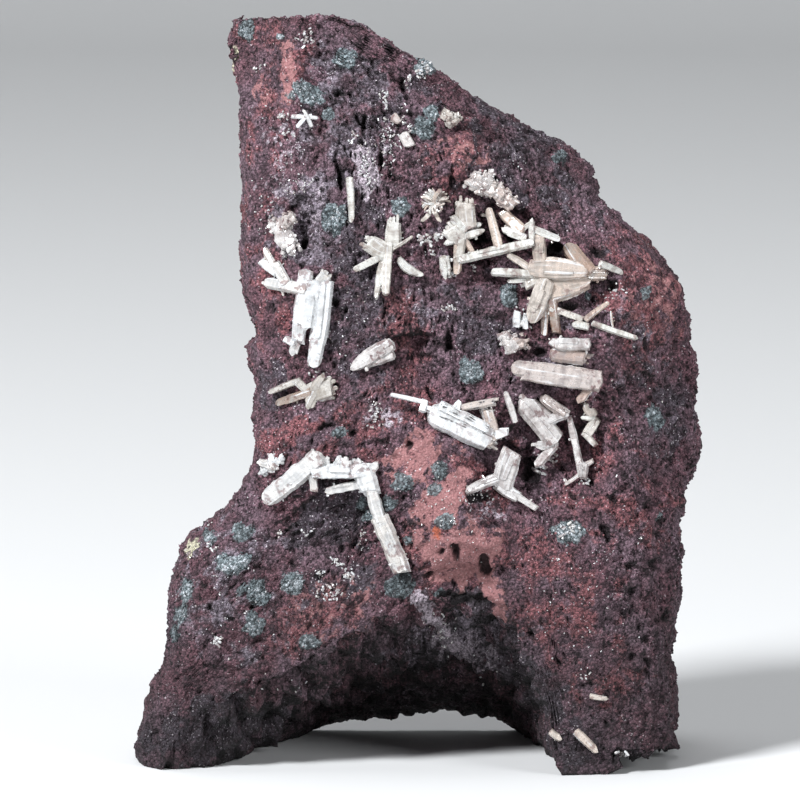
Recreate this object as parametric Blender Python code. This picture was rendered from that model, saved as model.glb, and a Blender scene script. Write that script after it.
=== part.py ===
"""Cerussite specimen: lath-shaped white crystals on a broken block of purple-brown rock.

Metres, +Z up. The block stands on its own feet. Positions are measured in millimetres as they are seen from
the front: across (to the right), height (up the view, which looks down by VIEW_TILT) and depth (away from the
viewer, level with the floor).
"""

import math
from collections import namedtuple

import bmesh
import bpy
import numpy as np
from mathutils import Matrix, Vector
from mathutils.bvhtree import BVHTree

MM = 0.001
VIEW_TILT = math.radians(8.0)
TOWARD_VIEWER = Vector((0.0, -math.cos(VIEW_TILT), math.sin(VIEW_TILT)))

# Driving dimensions of the block, in millimetres.
TOP_HEIGHT = 94.9
BASE_ACROSS = (-35.9, 31.8)
CENTRE_ACROSS = -0.3
CENTRE_DEPTH = 16.0
CELLS_ACROSS = 20
CELLS_HIGH = 27
CELLS_DEEP = 4
SIDE_PULL = 0.08
WIDEST_SHARE = 0.4
# Crystals stay clear of the rock: a copy of it, moved this far towards the viewer, cuts them.
CLEARANCE = 0.3

# Side outlines of the block: (height, across), from the foot up.
LEFT_OUTLINE = (
    (0.0, -35.9), (3.4, -36.1), (7.1, -35.3), (10.9, -34.3), (14.0, -32.4), (22.1, -31.5), (25.3, -30.8),
    (29.0, -29.3), (30.6, -27.0), (32.1, -26.0), (36.5, -22.6), (39.0, -21.1), (47.1, -20.3), (49.0, -20.1),
    (52.9, -21.4), (54.0, -22.0), (55.3, -20.7), (60.6, -22.2), (65.9, -22.7), (74.6, -22.1), (78.5, -21.8),
    (84.6, -22.6), (87.8, -23.5), (90.3, -24.4), (92.1, -24.2), (94.6, -23.5),
)
RIGHT_OUTLINE = (
    (3.1, 31.8), (7.0, 32.4), (10.9, 31.9), (14.6, 31.1), (22.1, 33.0), (27.6, 33.6), (32.1, 32.5),
    (35.0, 32.4), (37.4, 33.4), (39.6, 35.2), (42.1, 35.7), (47.1, 35.3), (49.9, 35.9), (52.4, 35.8),
    (54.0, 34.9), (58.4, 34.4), (61.5, 33.0), (65.1, 30.3), (66.5, 28.9), (68.6, 25.8), (72.1, 22.3),
    (74.0, 22.1), (76.5, 21.7), (79.0, 19.2), (80.1, 16.9), (81.5, 12.8), (85.3, 7.0), (89.6, 0.6),
    (91.5, -3.6), (94.0, -7.4), (94.9, -10.0),
)

# Front and back edges of the broken underside: (across, height). Heights under the floor are cut off level.
UNDERSIDE_FRONT = (
    (-35.3, -4.0), (-33.2, -2.0), (-31.8, 6.5), (-29.6, 8.2), (-24.0, 10.6), (-20.8, 11.9), (-15.0, 15.4),
    (-8.9, 19.6), (-3.0, 21.5), (2.5, 22.0), (6.3, 23.0), (9.5, 20.9), (12.0, 17.0), (15.6, 10.9),
    (17.0, 5.9), (18.0, -4.0), (24.0, -4.0), (25.2, 2.6), (31.8, 3.1),
)
UNDERSIDE_BACK = (
    (-24.0, -8.0), (-20.0, 1.0), (-16.9, 3.1), (-14.3, 4.6), (-7.9, 5.9), (1.8, 6.5), (11.3, 5.9),
    (14.0, 3.5), (17.5, -3.0), (20.0, -8.0), (24.0, -8.0), (26.5, 5.0), (31.8, 6.5),
)
# Share of the block's depth at which the underside has come down to its back edge.
UNDERSIDE_REACH = (
    (-35.0, 0.10), (-29.0, 0.20), (-20.0, 0.60), (-12.0, 1.0), (12.0, 1.0), (18.0, 0.5), (24.0, 0.20),
    (26.5, 0.80), (31.8, 1.0),
)

# Front face: how it leans back, and the shoulders past which it falls away to the sides (height, across).
FACE_LEAN = 0.10
LEFT_SHOULDER = ((0.0, -31.0), (22.0, -28.0), (34.0, -19.0), (47.0, -15.0), (72.0, -16.0), (94.0, -15.0))
RIGHT_SHOULDER = (
    (5.0, 29.0), (22.0, 28.8), (35.0, 27.5), (47.0, 23.8), (60.0, 25.0), (63.5, 22.5), (74.5, 10.0),
    (86.5, 1.3), (95.0, -4.0),
)
SHOULDER_SLOPE = 0.9
LEFT_LEG_EDGE = -5.0
LEFT_LEG_SLOPE = 0.10
RIGHT_LEG_EDGE = 18.0
RIGHT_LEG_SLOPE = 0.15
LEGS_FROM = 45.0
LEGS_FADE = 12.0

# Back face: the least of four planes, and the least thickness it leaves.
BACK_DEPTH = 32.8
BACK_LEAN = 0.10
BACK_LEFT_DEPTH = 24.0
BACK_RIGHT_DEPTH = 28.0
BACK_ACROSS = (-35.0, 35.0)
BACK_TOP_DEPTH = 17.0
BACK_SIDE_SLOPE = 0.8
LEAST_THICKNESS = 5.0

Swell = namedtuple("Swell", "across height half_width half_height rise")
# How steeply a swell falls off past its half sizes.
SWELL_FALL = 1.5
# Rises of the front face, and its hollows (negative rise).
RISES = (
    Swell(2.5, 40.0, 4.5, 8.0, 1.6),
    Swell(6.0, 29.0, 4.5, 8.0, 2.4),
    Swell(-3.8, 57.0, 4.0, 5.5, 1.8),
    Swell(-27.0, 24.0, 6.0, 10.0, 1.4),
    Swell(22.0, 24.0, 7.0, 12.0, 1.6),
    Swell(3.0, 77.0, 6.0, 8.0, 1.2),
)
HOLLOWS = (
    Swell(-10.0, 31.0, 6.0, 6.5, -3.0),
    Swell(13.8, 66.0, 9.0, 6.0, -3.2),
    Swell(7.2, 66.3, 2.6, 2.4, -2.6),
    Swell(21.6, 60.4, 3.0, 2.6, -2.6),
    Swell(15.0, 41.0, 7.0, 5.0, -2.6),
    Swell(11.5, 39.0, 2.8, 2.6, -2.4),
    Swell(20.8, 40.0, 2.6, 2.8, -1.8),
    Swell(6.2, 24.5, 4.2, 3.2, -3.4),
    Swell(-15.0, 68.5, 1.9, 3.0, -2.0),
    Swell(-1.5, 53.6, 2.2, 2.2, -1.6),
)

# Ledges: straight breaks of the face, from one end to the other, whose left side stands proud by the step.
Ledge = namedtuple("Ledge", "start end step")
LEDGES = (
    Ledge((-14.4, 81.5), (-14.2, 95.0), 1.1),
    Ledge((-2.5, 51.5), (-21.5, 40.5), 1.7),
    Ledge((8.0, 30.0), (25.0, 37.5), -1.2),
    Ledge((9.5, 87.0), (4.0, 70.0), -0.9),
)
# A ledge's step rises over this run, dies out over this length past its ends, and behind it over this share of
# its own length.
LEDGE_RUN = 0.45
LEDGE_FADE = 3.0
LEDGE_REACH = 0.6

# Broken lumps of the surface: (size across a lump, height of it, seed).
LUMPS = ((11.0, 0.85, 3.0), (5.5, 0.75, 8.0))
# The lumps are lower on the feet (height, share) and where the block is narrow (width, share).
LUMPS_BY_HEIGHT = ((3.0, 0.30), (13.0, 1.0))
LUMPS_BY_WIDTH = ((12.0, 0.25), (40.0, 1.0))

# Teal-grey rosettes: (across, height, radius), low domes that grow on the rock.
ROSETTES = (
    (-14.1, 85.4, 1.8), (-9.5, 89.8, 1.3), (-10.6, 69.6, 1.6), (-2.6, 71.3, 1.3), (11.1, 60.3, 1.2),
    (6.4, 50.9, 1.5), (29.4, 44.8, 1.4), (-2.2, 36.8, 1.3), (3.1, 32.0, 1.3), (-2.5, 23.9, 1.7),
    (-16.0, 23.9, 1.5), (-20.4, 22.9, 1.3), (-23.3, 26.6, 1.8), (18.5, 30.5, 1.8),
)
ROSETTE_RISE = 0.55

# The rosette of needles: its middle, how far each needle starts behind it, and the needles as (angle, reach,
# lift of the end).
NEEDLES_AT = (1.8, 71.7)
NEEDLE_ROOT = 0.4
NEEDLES = tuple(
    (math.radians(angle), reach, lift)
    for angle, reach, lift in (
        (22, 1.9, 2.2), (68, 1.8, 2.4), (107, 1.9, 1.9), (152, 1.9, 2.2), (187, 1.7, 1.7),
        (237, 3.0, 2.0), (285, 2.6, 1.9),
    )
)

Blade = namedtuple("Blade", "start end width thick lift tip", defaults=("point",))
# Crystals: both ends of the axis (across, height), width as seen, thickness, how far each end of the axis
# stands in front of the face, and the form of the far end.
CRYSTALS = {
    "upper_blade": (
        Blade((-8.8, 75.0), (-8.5, 68.9), 0.95, 0.7, (1.5, 0.9), "slant"),
    ),
    "star_spray": (
        Blade((-3.3, 66.0), (-3.2, 70.3), 2.0, 1.0, (1.2, 1.7), "blunt"),
        Blade((-3.8, 65.2), (-7.1, 67.5), 2.2, 0.9, (1.2, 1.5), "blunt"),
        Blade((-4.2, 65.4), (-8.3, 63.3), 0.95, 0.8, (1.3, 1.5), "slant"),
        Blade((-4.5, 65.2), (-5.5, 59.7), 1.1, 0.9, (1.2, 2.2)),
        Blade((-3.9, 66.8), (-4.3, 60.2), 1.15, 0.9, (1.4, 2.6), "slant"),
        Blade((-4.0, 65.6), (-0.8, 67.6), 0.5, 0.5, (1.6, 2.2)),
    ),
    "curved_blade": (
        Blade((-2.7, 64.5), (0.1, 62.7), 1.05, 0.8, (1.1, 1.4), "point"),
    ),
    "twin_group": (
        Blade((-11.7, 62.3), (-13.3, 51.1), 2.1, 1.4, (1.2, 1.9), "slant"),
        Blade((-14.2, 63.5), (-15.3, 54.1), 1.9, 1.3, (1.3, 1.5), "blunt"),
        Blade((-13.2, 61.8), (-13.9, 56.2), 2.4, 1.2, (1.3, 1.5), "blunt"),
        Blade((-15.2, 55.0), (-16.1, 52.2), 1.3, 0.9, (1.3, 1.2), "slant"),
        Blade((-15.5, 54.0), (-17.0, 54.8), 0.9, 0.7, (1.2, 1.1), "blunt"),
        Blade((-13.9, 60.8), (-19.7, 61.9), 1.7, 1.1, (2.2, 2.2), "point"),
        Blade((-16.6, 61.4), (-18.3, 64.4), 1.5, 0.9, (1.6, 1.8), "blunt"),
        Blade((-17.6, 62.9), (-19.9, 64.7), 1.4, 0.9, (1.7, 1.8), "blunt"),
        Blade((-18.3, 64.0), (-19.7, 66.3), 1.1, 0.8, (1.7, 1.5), "slant"),
    ),
    "crust_left": (
        Blade((-16.2, 66.1), (-18.3, 70.0), 2.3, 0.9, (0.9, 1.2), "blunt"),
        Blade((-17.6, 68.7), (-15.6, 70.3), 1.6, 0.8, (1.1, 1.2), "blunt"),
        Blade((-17.0, 67.2), (-15.2, 65.5), 1.5, 0.8, (1.0, 1.0), "slant"),
    ),
    "spray_left": (
        Blade((-15.2, 49.7), (-19.2, 47.5), 0.95, 0.8, (1.3, 1.6), "slant"),
        Blade((-13.9, 48.0), (-16.4, 49.6), 1.0, 0.8, (1.3, 1.5), "blunt"),
        Blade((-12.6, 48.9), (-17.9, 46.3), 1.5, 1.0, (1.5, 1.7), "slant"),
        Blade((-13.6, 47.6), (-12.4, 50.2), 0.95, 0.7, (1.1, 1.6)),
        Blade((-13.8, 47.7), (-10.1, 48.7), 1.9, 0.8, (1.1, 1.6), "blunt"),
        Blade((-13.2, 48.2), (-14.1, 45.9), 1.0, 0.7, (1.1, 1.2)),
    ),
    "blade_middle": (
        Blade((-3.3, 54.2), (-8.5, 51.0), 1.9, 1.1, (1.2, 1.3)),
        Blade((-3.2, 52.9), (-6.8, 51.4), 1.3, 0.9, (1.1, 1.2), "blunt"),
    ),
    "elbow_group": (
        Blade((-12.0, 40.5), (-19.4, 34.4), 2.7, 1.6, (1.5, 1.6), "blunt"),
        Blade((-13.8, 38.2), (-6.0, 38.3), 1.9, 1.4, (1.3, 1.3), "blunt"),
        Blade((-7.3, 36.6), (-12.3, 35.5), 1.1, 0.9, (1.2, 1.2), "slant"),
        Blade((-7.4, 38.9), (-5.8, 34.8), 2.7, 1.4, (1.3, 1.5), "blunt"),
        Blade((-6.6, 37.4), (-5.2, 39.5), 1.0, 0.8, (1.3, 1.4)),
        Blade((-6.3, 36.6), (-4.8, 31.4), 1.6, 1.2, (1.4, 1.6), "blunt"),
        Blade((-5.2, 32.6), (-2.1, 25.3), 2.2, 1.4, (1.5, 1.3), "blunt"),
        Blade((-13.5, 38.0), (-13.2, 35.5), 1.1, 0.8, (1.2, 1.3), "blunt"),
        Blade((-10.9, 38.4), (-9.8, 40.2), 0.9, 0.7, (1.2, 1.2)),
    ),
    "pale_cluster_left": (
        Blade((-18.1, 38.6), (-20.3, 39.4), 1.0, 0.8, (1.1, 1.2), "blunt"),
        Blade((-18.2, 39.1), (-20.2, 37.8), 0.9, 0.8, (1.2, 1.1), "slant"),
        Blade((-18.3, 38.9), (-18.7, 40.5), 0.9, 0.8, (1.1, 1.3), "blunt"),
        Blade((-18.4, 38.9), (-17.1, 40.1), 0.8, 0.7, (1.1, 1.3)),
    ),
    "striated_group": (
        Blade((9.8, 41.8), (1.5, 45.8), 3.0, 1.7, (1.2, 1.7)),
        Blade((2.4, 45.5), (0.3, 46.2), 0.9, 0.8, (1.5, 1.6), "blunt"),
        Blade((0.2, 45.5), (0.7, 47.2), 0.95, 0.8, (1.6, 1.7), "blunt"),
        Blade((0.9, 46.7), (-3.7, 47.8), 0.7, 0.65, (1.7, 2.2), "slant"),
        Blade((4.4, 45.2), (4.9, 47.5), 1.1, 0.8, (1.3, 1.3), "slant"),
        Blade((5.0, 46.1), (10.1, 47.1), 0.9, 0.8, (1.2, 1.4), "blunt"),
        Blade((9.7, 42.8), (8.3, 46.8), 1.8, 1.1, (1.2, 1.4), "blunt"),
        Blade((8.4, 43.0), (10.0, 41.3), 1.6, 1.0, (1.2, 1.2), "blunt"),
    ),
    "front_group": (
        Blade((12.0, 44.2), (10.7, 48.1), 0.85, 0.8, (1.9, 2.4)),
        Blade((17.0, 41.7), (11.8, 47.5), 2.6, 1.4, (1.2, 2.2)),
        Blade((16.9, 44.6), (13.9, 47.0), 0.95, 0.8, (1.2, 2.2)),
        Blade((18.6, 45.1), (15.2, 47.5), 1.5, 0.9, (1.0, 2.0)),
        Blade((15.0, 44.0), (18.5, 45.6), 1.4, 0.9, (1.3, 1.2), "blunt"),
        Blade((17.4, 41.6), (13.9, 41.2), 1.3, 0.9, (1.2, 1.6), "slant"),
        Blade((17.0, 41.6), (14.2, 38.3), 1.2, 1.0, (1.2, 1.7), "slant"),
        Blade((20.3, 37.7), (18.6, 45.4), 1.0, 0.9, (1.7, 1.1)),
        Blade((20.5, 39.4), (20.3, 37.1), 1.3, 1.1, (1.7, 1.6), "blunt"),
        Blade((20.3, 38.7), (21.8, 39.6), 0.7, 0.6, (1.6, 1.9), "blunt"),
        Blade((20.1, 37.8), (18.0, 36.4), 0.5, 0.5, (1.5, 1.3)),
    ),
    "right_cluster": (
        Blade((21.9, 44.9), (20.5, 46.9), 1.3, 0.8, (1.2, 1.7)),
        Blade((22.0, 44.8), (20.0, 44.9), 0.65, 0.6, (1.3, 1.5)),
        Blade((22.2, 45.0), (20.8, 42.6), 1.4, 0.9, (1.2, 1.5), "blunt"),
        Blade((20.4, 43.1), (22.1, 41.3), 0.85, 0.7, (1.4, 1.6), "blunt"),
    ),
    "tablet_group": (
        Blade((22.9, 49.3), (11.6, 51.2), 2.6, 1.5, (1.6, 2.2), "slant"),
        Blade((21.4, 53.8), (15.5, 53.9), 2.0, 1.2, (1.6, 1.8), "slant"),
        Blade((16.4, 53.2), (21.8, 51.2), 2.2, 1.1, (1.3, 1.3), "blunt"),
        Blade((22.1, 49.8), (19.5, 46.3), 1.15, 0.8, (1.4, 2.2), "slant"),
    ),
    "small_tablets": (
        Blade((11.8, 56.3), (11.8, 58.2), 1.0, 0.7, (1.2, 1.5), "blunt"),
        Blade((13.1, 55.7), (12.7, 57.9), 0.9, 0.7, (1.3, 1.6), "blunt"),
        Blade((11.6, 56.9), (13.3, 56.6), 0.9, 0.7, (1.1, 1.2), "blunt"),
    ),
    "lumpy_crust": (
        Blade((12.0, 53.0), (10.3, 55.7), 2.0, 1.1, (1.1, 1.4), "blunt"),
        Blade((11.4, 54.0), (13.7, 54.7), 1.8, 1.0, (1.1, 1.4), "slant"),
    ),
    "granular_crust": (
        Blade((8.6, 73.4), (6.0, 75.0), 2.4, 1.3, (1.1, 1.4), "blunt"),
        Blade((8.4, 73.2), (8.3, 76.0), 1.7, 1.1, (1.2, 1.8), "slant"),
        Blade((7.8, 73.8), (10.1, 73.2), 2.2, 1.2, (1.2, 1.4), "blunt"),
        Blade((9.2, 73.4), (11.9, 71.1), 2.0, 1.1, (1.2, 1.6), "blunt"),
    ),
    "needle_rosette": tuple(
        Blade(
            (NEEDLES_AT[0] - NEEDLE_ROOT * math.cos(angle), NEEDLES_AT[1] - NEEDLE_ROOT * math.sin(angle)),
            (NEEDLES_AT[0] + reach * math.cos(angle), NEEDLES_AT[1] + reach * math.sin(angle)),
            0.75, 0.6, (1.2, lift),
        )
        for angle, reach, lift in NEEDLES
    ),
    "jackstraw": (
        Blade((5.8, 68.3), (5.0, 72.7), 1.7, 0.9, (1.6, 2.0), "slant"),
        Blade((5.8, 68.1), (3.9, 70.4), 0.95, 0.8, (1.7, 1.8)),
        Blade((5.5, 66.5), (3.2, 69.4), 2.2, 0.9, (1.5, 1.9)),
        Blade((5.7, 67.4), (2.9, 66.4), 0.95, 0.8, (1.5, 1.6)),
        Blade((5.2, 67.5), (8.1, 68.4), 1.15, 0.8, (1.6, 1.8)),
        Blade((5.2, 68.9), (7.8, 68.9), 0.7, 0.7, (1.6, 1.5), "blunt"),
        Blade((5.4, 68.9), (4.9, 64.3), 1.2, 0.9, (1.6, 1.9), "blunt"),
        Blade((4.8, 67.0), (4.5, 62.7), 1.3, 0.8, (1.4, 1.4)),
        Blade((4.9, 64.6), (3.2, 62.0), 1.3, 0.8, (1.6, 1.5), "slant"),
        Blade((4.7, 64.7), (14.2, 66.5), 1.35, 1.1, (2.0, 2.5), "slant"),
        Blade((10.3, 65.5), (8.6, 71.2), 1.15, 1.0, (2.3, 0.8), "blunt"),
        Blade((13.4, 67.4), (9.9, 70.8), 1.6, 0.9, (2.2, 0.9), "blunt"),
        Blade((13.4, 67.1), (9.9, 68.7), 0.95, 0.8, (2.3, 2.0)),
        Blade((12.7, 68.3), (14.4, 70.0), 0.75, 0.7, (2.2, 2.4)),
        Blade((14.1, 66.2), (14.0, 69.8), 0.8, 0.8, (2.4, 2.4), "blunt"),
        Blade((13.8, 68.7), (17.5, 67.1), 0.95, 0.8, (2.3, 2.2), "slant"),
        Blade((14.9, 64.0), (14.7, 67.9), 1.9, 1.1, (2.2, 2.2), "blunt"),
        Blade((14.4, 63.1), (10.3, 65.5), 1.1, 0.9, (2.0, 2.3), "blunt"),
        Blade((15.3, 62.6), (8.9, 63.0), 1.0, 0.9, (2.0, 2.6)),
        Blade((13.6, 62.2), (10.9, 61.9), 0.7, 0.7, (1.6, 2.0)),
        Blade((15.0, 62.6), (12.6, 61.3), 1.7, 0.9, (1.8, 1.6), "slant"),
        Blade((13.6, 63.9), (20.2, 62.5), 2.6, 1.2, (2.2, 1.8)),
        Blade((15.2, 61.2), (21.1, 61.6), 3.0, 1.3, (1.8, 1.2), "slant"),
        Blade((21.2, 61.9), (16.0, 59.6), 2.1, 1.1, (1.1, 1.9), "slant"),
        Blade((16.2, 62.4), (14.1, 56.6), 2.4, 1.2, (2.2, 2.4)),
        Blade((15.6, 59.4), (15.8, 55.3), 1.0, 0.8, (1.8, 1.2), "slant"),
        Blade((21.4, 62.4), (18.4, 66.2), 2.5, 1.3, (1.4, 0.8), "blunt"),
        Blade((20.9, 63.7), (25.7, 62.5), 1.2, 0.9, (1.6, 1.3)),
        Blade((20.8, 62.9), (23.9, 62.5), 1.9, 1.0, (1.4, 1.0), "blunt"),
        Blade((17.3, 57.0), (15.5, 58.8), 1.7, 1.0, (1.7, 2.0), "blunt"),
        Blade((17.0, 58.1), (20.9, 57.0), 0.9, 0.8, (1.7, 1.6), "blunt"),
        Blade((20.3, 56.9), (23.7, 59.3), 0.85, 0.7, (1.5, 1.6), "slant"),
        Blade((21.2, 56.3), (19.0, 56.5), 1.0, 0.8, (1.3, 1.5), "blunt"),
        Blade((20.4, 56.9), (27.3, 54.7), 0.8, 0.75, (1.9, 4.6), "blunt"),
    ),
    "star_top": (
        Blade((-16.1, 82.5), (-12.6, 82.3), 0.55, 0.6, (1.6, 1.6)),
        Blade((-13.5, 81.2), (-14.6, 83.4), 0.5, 0.45, (1.2, 1.4)),
        Blade((-14.2, 82.6), (-15.5, 81.0), 0.5, 0.45, (1.2, 1.2)),
    ),
    "pearly_blade_upper": (
        Blade((-3.6, 82.5), (-1.9, 81.7), 1.2, 0.7, (1.0, 1.1), "slant"),
    ),
    "pearly_blade_lower": (
        Blade((-2.2, 80.5), (-0.9, 78.3), 1.3, 0.7, (1.0, 1.1), "slant"),
    ),
    "cream_lump": (
        Blade((2.6, 83.0), (5.0, 81.6), 1.5, 1.1, (1.0, 1.3), "blunt"),
        Blade((3.2, 81.3), (4.9, 83.0), 1.4, 1.0, (1.0, 1.2), "slant"),
    ),
    "tablet_lower": (
        Blade((10.1, 36.0), (11.3, 40.6), 2.6, 1.3, (1.2, 2.2), "slant"),
        Blade((9.8, 37.4), (5.8, 35.7), 1.3, 1.0, (1.2, 1.5), "blunt"),
        Blade((9.3, 36.9), (12.4, 34.8), 1.7, 1.0, (1.2, 1.4), "blunt"),
        Blade((11.2, 35.7), (14.7, 33.4), 0.85, 0.7, (1.3, 1.6), "blunt"),
    ),
    "blade_foot": (
        Blade((19.4, 5.7), (22.6, 2.7), 1.1, 0.8, (1.1, 1.2), "slant"),
    ),
    "chip_foot_left": (
        Blade((16.2, 5.6), (18.1, 4.4), 0.9, 0.7, (1.0, 1.2), "slant"),
    ),
    "chip_right_leg": (
        Blade((21.2, 10.0), (23.7, 9.6), 0.7, 0.6, (1.0, 1.1)),
    ),
}

# Far ends of the crystals, as cutting planes: (lean of the plane's normal to the side in degrees, and how far
# the plane stands back from the end at the axis, as a share of the width).
TIP_CUTS = {
    "point": ((52.0, 0.05), (-44.0, 0.05)),
    "slant": ((34.0, 0.35), (-58.0, 0.35)),
    "blunt": ((14.0, 0.10),),
}
# A group of crystals rests on the rock: its nearest points, this part of them, are set in by this much, and
# each crystal keeps at least this thickness in front of the rock.
RESTING_SHARES = (0.1, 0.3, 0.5, 0.7, 0.9)
RESTING_PART = 0.15
SET_IN = 0.1
LEAST_SHOWN = 0.35
RAY_START = 30.0
SAME_PLANE = math.radians(1.5)
TURN_SPREAD = math.radians(13.0)
TURN_STEP = 2.4


def track(points, where):
    """Straight lines through (place, value) points, read at the given places."""
    places, values = zip(*points)
    return np.interp(where, places, values)


def swells(items, across, height):
    """Sum of smooth round rises over the front face."""
    total = np.zeros_like(across)
    for item in items:
        far = ((across - item.across) / item.half_width) ** 2 + ((height - item.height) / item.half_height) ** 2
        total += item.rise * np.exp(-far ** SWELL_FALL)
    return total


def ledges(across, height):
    """How far the ledges bring the face towards the viewer."""
    total = np.zeros_like(across)
    for ledge in LEDGES:
        start = np.array(ledge.start)
        run = np.array(ledge.end) - start
        length = np.hypot(*run)
        run /= length
        along = (across - start[0]) * run[0] + (height - start[1]) * run[1]
        left = (height - start[1]) * run[0] - (across - start[0]) * run[1]
        fade = np.clip(np.minimum(along, length - along) / LEDGE_FADE + 0.5, 0.0, 1.0)
        reach = np.exp(-(np.maximum(left, 0.0) / (LEDGE_REACH * length)) ** 2)
        total += ledge.step * fade * reach / (1.0 + np.exp(-left / LEDGE_RUN))
    return total


def face_depth(across, height):
    """Depth of the front face before its hollows."""
    depth = FACE_LEAN * height
    depth += SHOULDER_SLOPE * np.maximum(track(LEFT_SHOULDER, height) - across, 0.0)
    depth += SHOULDER_SLOPE * np.maximum(across - track(RIGHT_SHOULDER, height), 0.0)
    low = np.clip((LEGS_FROM - height) / LEGS_FADE, 0.0, 1.0)
    depth += low * LEFT_LEG_SLOPE * np.maximum(LEFT_LEG_EDGE - across, 0.0)
    depth += low * RIGHT_LEG_SLOPE * np.maximum(across - RIGHT_LEG_EDGE, 0.0)
    return depth - swells(RISES, across, height) - ledges(across, height)


def back_depth(across, height, front):
    """Depth of the back face."""
    planes = (
        BACK_DEPTH - BACK_LEAN * height,
        BACK_LEFT_DEPTH + BACK_SIDE_SLOPE * (across - BACK_ACROSS[0]),
        BACK_RIGHT_DEPTH + BACK_SIDE_SLOPE * (BACK_ACROSS[1] - across),
        BACK_TOP_DEPTH + BACK_SIDE_SLOPE * (TOP_HEIGHT - height),
    )
    return np.maximum(np.minimum.reduce(planes), front + LEAST_THICKNESS)


def lattice_value(x, y, z, seed):
    """A number from -1 to 1 for each whole-numbered lattice point."""
    mixed = np.sin(x * 127.1 + y * 311.7 + z * 74.7 + seed * 19.19) * 43758.5453
    return 2.0 * (mixed - np.floor(mixed)) - 1.0


def soft_noise(points, size, seed):
    """Smooth noise from -1 to 1 at points in millimetres, with lumps of the given size."""
    scaled = points / size
    low = np.floor(scaled)
    share = scaled - low
    share = share * share * (3.0 - 2.0 * share)
    total = np.zeros(len(points))
    for corner in np.ndindex(2, 2, 2):
        step = np.array(corner)
        weight = np.prod(np.where(step, share, 1.0 - share), axis=1)
        total += weight * lattice_value(*(low + step).T, seed)
    return total


def world(across, height, depth):
    """Positions, in millimetres, of places seen at (across, height) with their depth."""
    upright = (height - depth * math.sin(VIEW_TILT)) / math.cos(VIEW_TILT)
    return np.stack((across - CENTRE_ACROSS, depth - CENTRE_DEPTH, upright), axis=-1)


def link(name, mesh, collection):
    """A new object for the mesh, in the collection."""
    made = bpy.data.objects.new(name, mesh)
    collection.objects.link(made)
    return made


def hand_over(name, mesh, collection, material):
    """The finished piece, brought from millimetres to metres, with its material."""
    piece = mesh.copy()
    piece.transform(Matrix.Scale(MM, 4))
    piece.materials.append(material)
    link(name, piece, collection)


def mesh_from(name, shape):
    """The bmesh as a mesh, with its faces pointing out."""
    bmesh.ops.recalc_face_normals(shape, faces=shape.faces)
    mesh = bpy.data.meshes.new(name)
    shape.to_mesh(mesh)
    shape.free()
    return mesh


def finish(name, colour, roughness, transmission=0.0):
    """A plain finish."""
    material = bpy.data.materials.new(name)
    material.use_nodes = True
    shader = material.node_tree.nodes["Principled BSDF"]
    shader.inputs["Base Color"].default_value = (*colour, 1.0)
    shader.inputs["Roughness"].default_value = roughness
    shader.inputs["Metallic"].default_value = 0.0
    shader.inputs["Transmission Weight"].default_value = transmission
    return material


def divided_cube():
    """A unit cube, cut into a regular grid of cells along each axis."""
    cube = bmesh.new()
    bmesh.ops.create_cube(cube, size=1.0, matrix=Matrix.Translation((0.5, 0.5, 0.5)))
    for axis, cells in enumerate((CELLS_ACROSS, CELLS_DEEP, CELLS_HIGH)):
        along = Vector((0.0, 0.0, 0.0))
        along[axis] = 1.0
        for number in range(1, cells):
            everything = cube.verts[:] + cube.edges[:] + cube.faces[:]
            bmesh.ops.bisect_plane(cube, geom=everything, plane_co=along * (number / cells), plane_no=along)
    return cube


def block_places(share):
    """Across, height and depth of the block's surface for shares (across, deep, high) of the unit cube."""
    side, deep, high = share.T
    low_across = BASE_ACROSS[0] + (BASE_ACROSS[1] - BASE_ACROSS[0]) * side
    front_edge = track(UNDERSIDE_FRONT, low_across)
    back_edge = track(UNDERSIDE_BACK, low_across)
    descent = np.clip(deep / track(UNDERSIDE_REACH, low_across), 0.0, 1.0)
    low = front_edge + (back_edge - front_edge) * descent
    height = low + (TOP_HEIGHT - low) * high
    left = track(LEFT_OUTLINE, height)
    right = track(RIGHT_OUTLINE, height)
    middle = (left + right) / 2.0
    pull = 1.0 - SIDE_PULL * ((deep - WIDEST_SHARE) / (1.0 - WIDEST_SHARE)) ** 2
    across = middle + (right - left) * (side - 0.5) * pull
    face = face_depth(across, height)
    front = face - swells(HOLLOWS, across, height)
    depth = front + (back_depth(across, height, face) - front) * deep
    return across, height, depth


def matrix_rock():
    """The block of rock: a cube drawn out to the block's outlines, roughened, and cut level at its feet.

    The front face is roughened along the line of sight, so that none of it turns away from the viewer.
    """
    block = divided_cube()
    share = np.array([vertex.co[:] for vertex in block.verts])
    across, height, depth = block_places(share)
    for vertex, place in zip(block.verts, world(across, height, depth)):
        vertex.co = place
    bmesh.ops.recalc_face_normals(block, faces=block.faces)
    block.normal_update()
    points = np.array([vertex.co[:] for vertex in block.verts])
    rough = sum(rise * soft_noise(points, size, seed) for size, rise, seed in LUMPS)
    width = track(RIGHT_OUTLINE, height) - track(LEFT_OUTLINE, height)
    rough *= track(LUMPS_BY_HEIGHT, height) * track(LUMPS_BY_WIDTH, width)
    for vertex, step, deep in zip(block.verts, rough, share[:, 1]):
        outward = vertex.normal if deep > 0.0 else TOWARD_VIEWER
        vertex.co += outward * float(step)
    everything = block.verts[:] + block.edges[:] + block.faces[:]
    cut = bmesh.ops.bisect_plane(
        block, geom=everything, plane_co=(0.0, 0.0, 0.0), plane_no=(0.0, 0.0, -1.0), clear_outer=True
    )
    rim = [item for item in cut["geom_cut"] if isinstance(item, bmesh.types.BMEdge)]
    bmesh.ops.holes_fill(block, edges=rim, sides=0)
    return mesh_from("matrix", block)


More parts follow.
